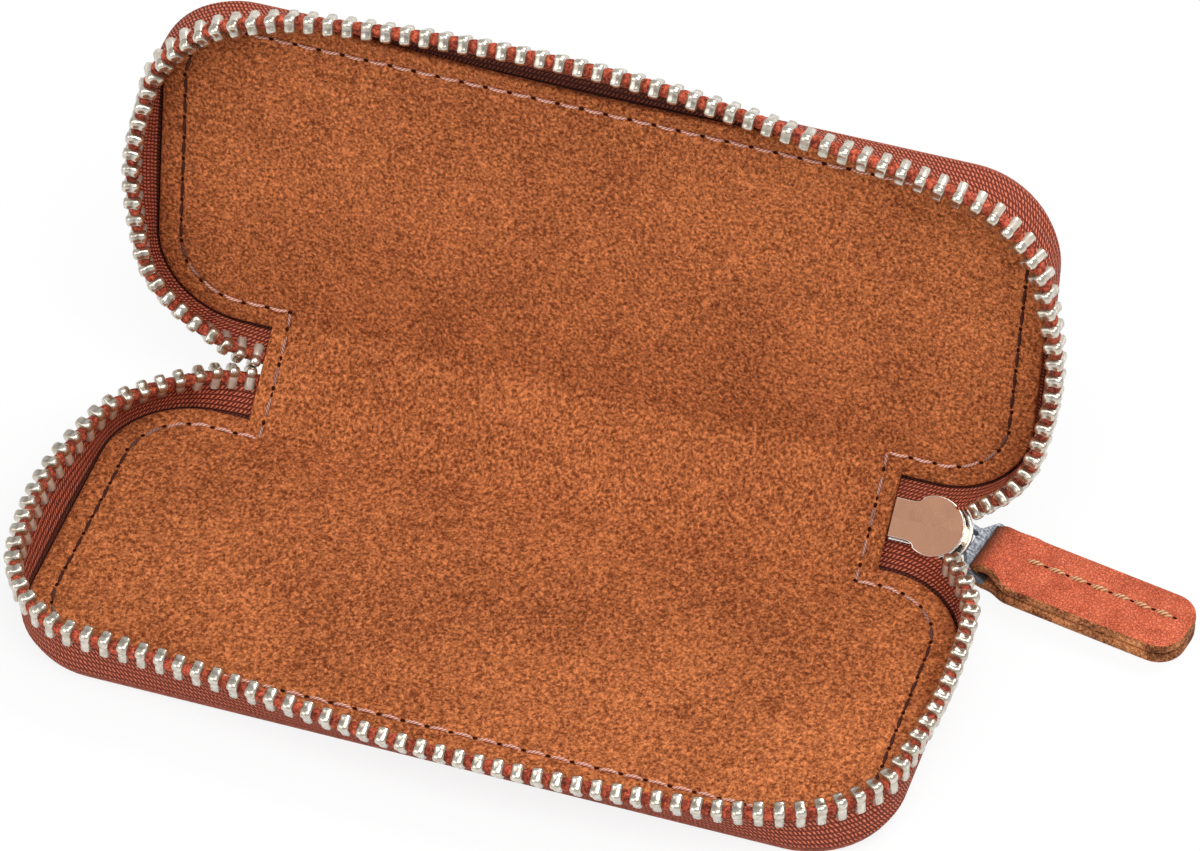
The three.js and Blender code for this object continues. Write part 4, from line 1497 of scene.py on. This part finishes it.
# floor, light and camera
stage = {"size": 4, "floor": srgb(232, 232, 232), "glow": 0.85, "world": 0.42, "mirrored": 0.55}
white = (1, 1, 1, 1)


def makeStage():
    constants = {"Base Color": stage["floor"], "Roughness": 1, "Specular IOR Level": 0}
    material, tree, shader = newMaterial("paleFloor", constants)
    rays = addNode(tree, "ShaderNodeLightPath")
    seen = calc(tree, "MAXIMUM", rays["Is Camera Ray"], rays["Is Glossy Ray"])
    glow = addNode(tree, "ShaderNodeEmission", {"Color": white, "Strength": 1})[0]
    layers = {0: multiply(tree, seen, stage["glow"]), 1: shader.outputs[0], 2: glow}
    output = next(node for node in tree.nodes if node.type == "OUTPUT_MATERIAL")
    connect(tree, output.inputs, {"Surface": addNode(tree, "ShaderNodeMixShader", layers)[0]})
    half = stage["size"] / 2
    corners = [(-half, -half, 0), (half, -half, 0), (half, half, 0), (-half, half, 0)]
    linkObject("floor", newMesh("floor", corners, [(0, 1, 2, 3)], [material]))

    world = bpy.data.worlds.new("studio")
    bpy.context.scene.world = world
    world.use_nodes = True
    sky = world.node_tree
    back = sky.nodes["Background"]
    back.inputs["Color"].default_value = white
    mirrored = addNode(sky, "ShaderNodeLightPath")["Is Glossy Ray"]
    connect(sky, back.inputs, {"Strength": remap(sky, mirrored, 0, 1, stage["world"], stage["mirrored"])})


lamps = {
    "key": {"place": (0.3, -0.35, 0.95), "size": 0.7, "power": 7.6},
    "fill": {"place": (-0.5, -0.6, 0.5), "size": 0.7, "power": 2.5},
    "back": {"place": (0.35, 0.7, 0.75), "size": 0.5, "power": 5},
}
lampAim = Vector((0, 0.01, 0.02))


def makeLamps():
    for name, lamp in lamps.items():
        light = bpy.data.lights.new(name, "AREA")
        light.shape = "SQUARE"
        light.size = lamp["size"]
        light.energy = lamp["power"]
        holder = linkObject(name, light)
        holder.location = lamp["place"]
        holder.rotation_mode = "QUATERNION"
        holder.rotation_quaternion = (lampAim - Vector(lamp["place"])).to_track_quat("-Z", "Y")


view = {
    "place": (186.55 * mm, -553.55 * mm, 619.37 * mm),
    "azimuth": radians(17.508),
    "elevation": radians(44.965),
    "roll": radians(0.665),
    "lens": 211.62,
    "sensor": 36,
    "clip": (0.01, 20),
}


def makeCamera():
    camera = bpy.data.cameras.new("photoCamera")
    camera.sensor_width = view["sensor"]
    camera.lens = view["lens"]
    camera.clip_start, camera.clip_end = view["clip"]
    az, el, roll = view["azimuth"], view["elevation"], view["roll"]
    back = Vector((sin(az) * cos(el), -cos(az) * cos(el), sin(el)))
    right = Vector((cos(az), sin(az), 0))
    up = back.cross(right)
    turned = right * cos(roll) + up * sin(roll)
    lifted = up * cos(roll) - right * sin(roll)
    holder = linkObject("photoCamera", camera)
    turn = Matrix((turned, lifted, back)).transposed().to_4x4()
    holder.matrix_world = Matrix.Translation(view["place"]) @ turn
    bpy.context.scene.camera = holder


makeStage()
makeLamps()
makeCamera()
bpy.context.scene.view_settings.view_transform = "Standard"
print("stage ready")
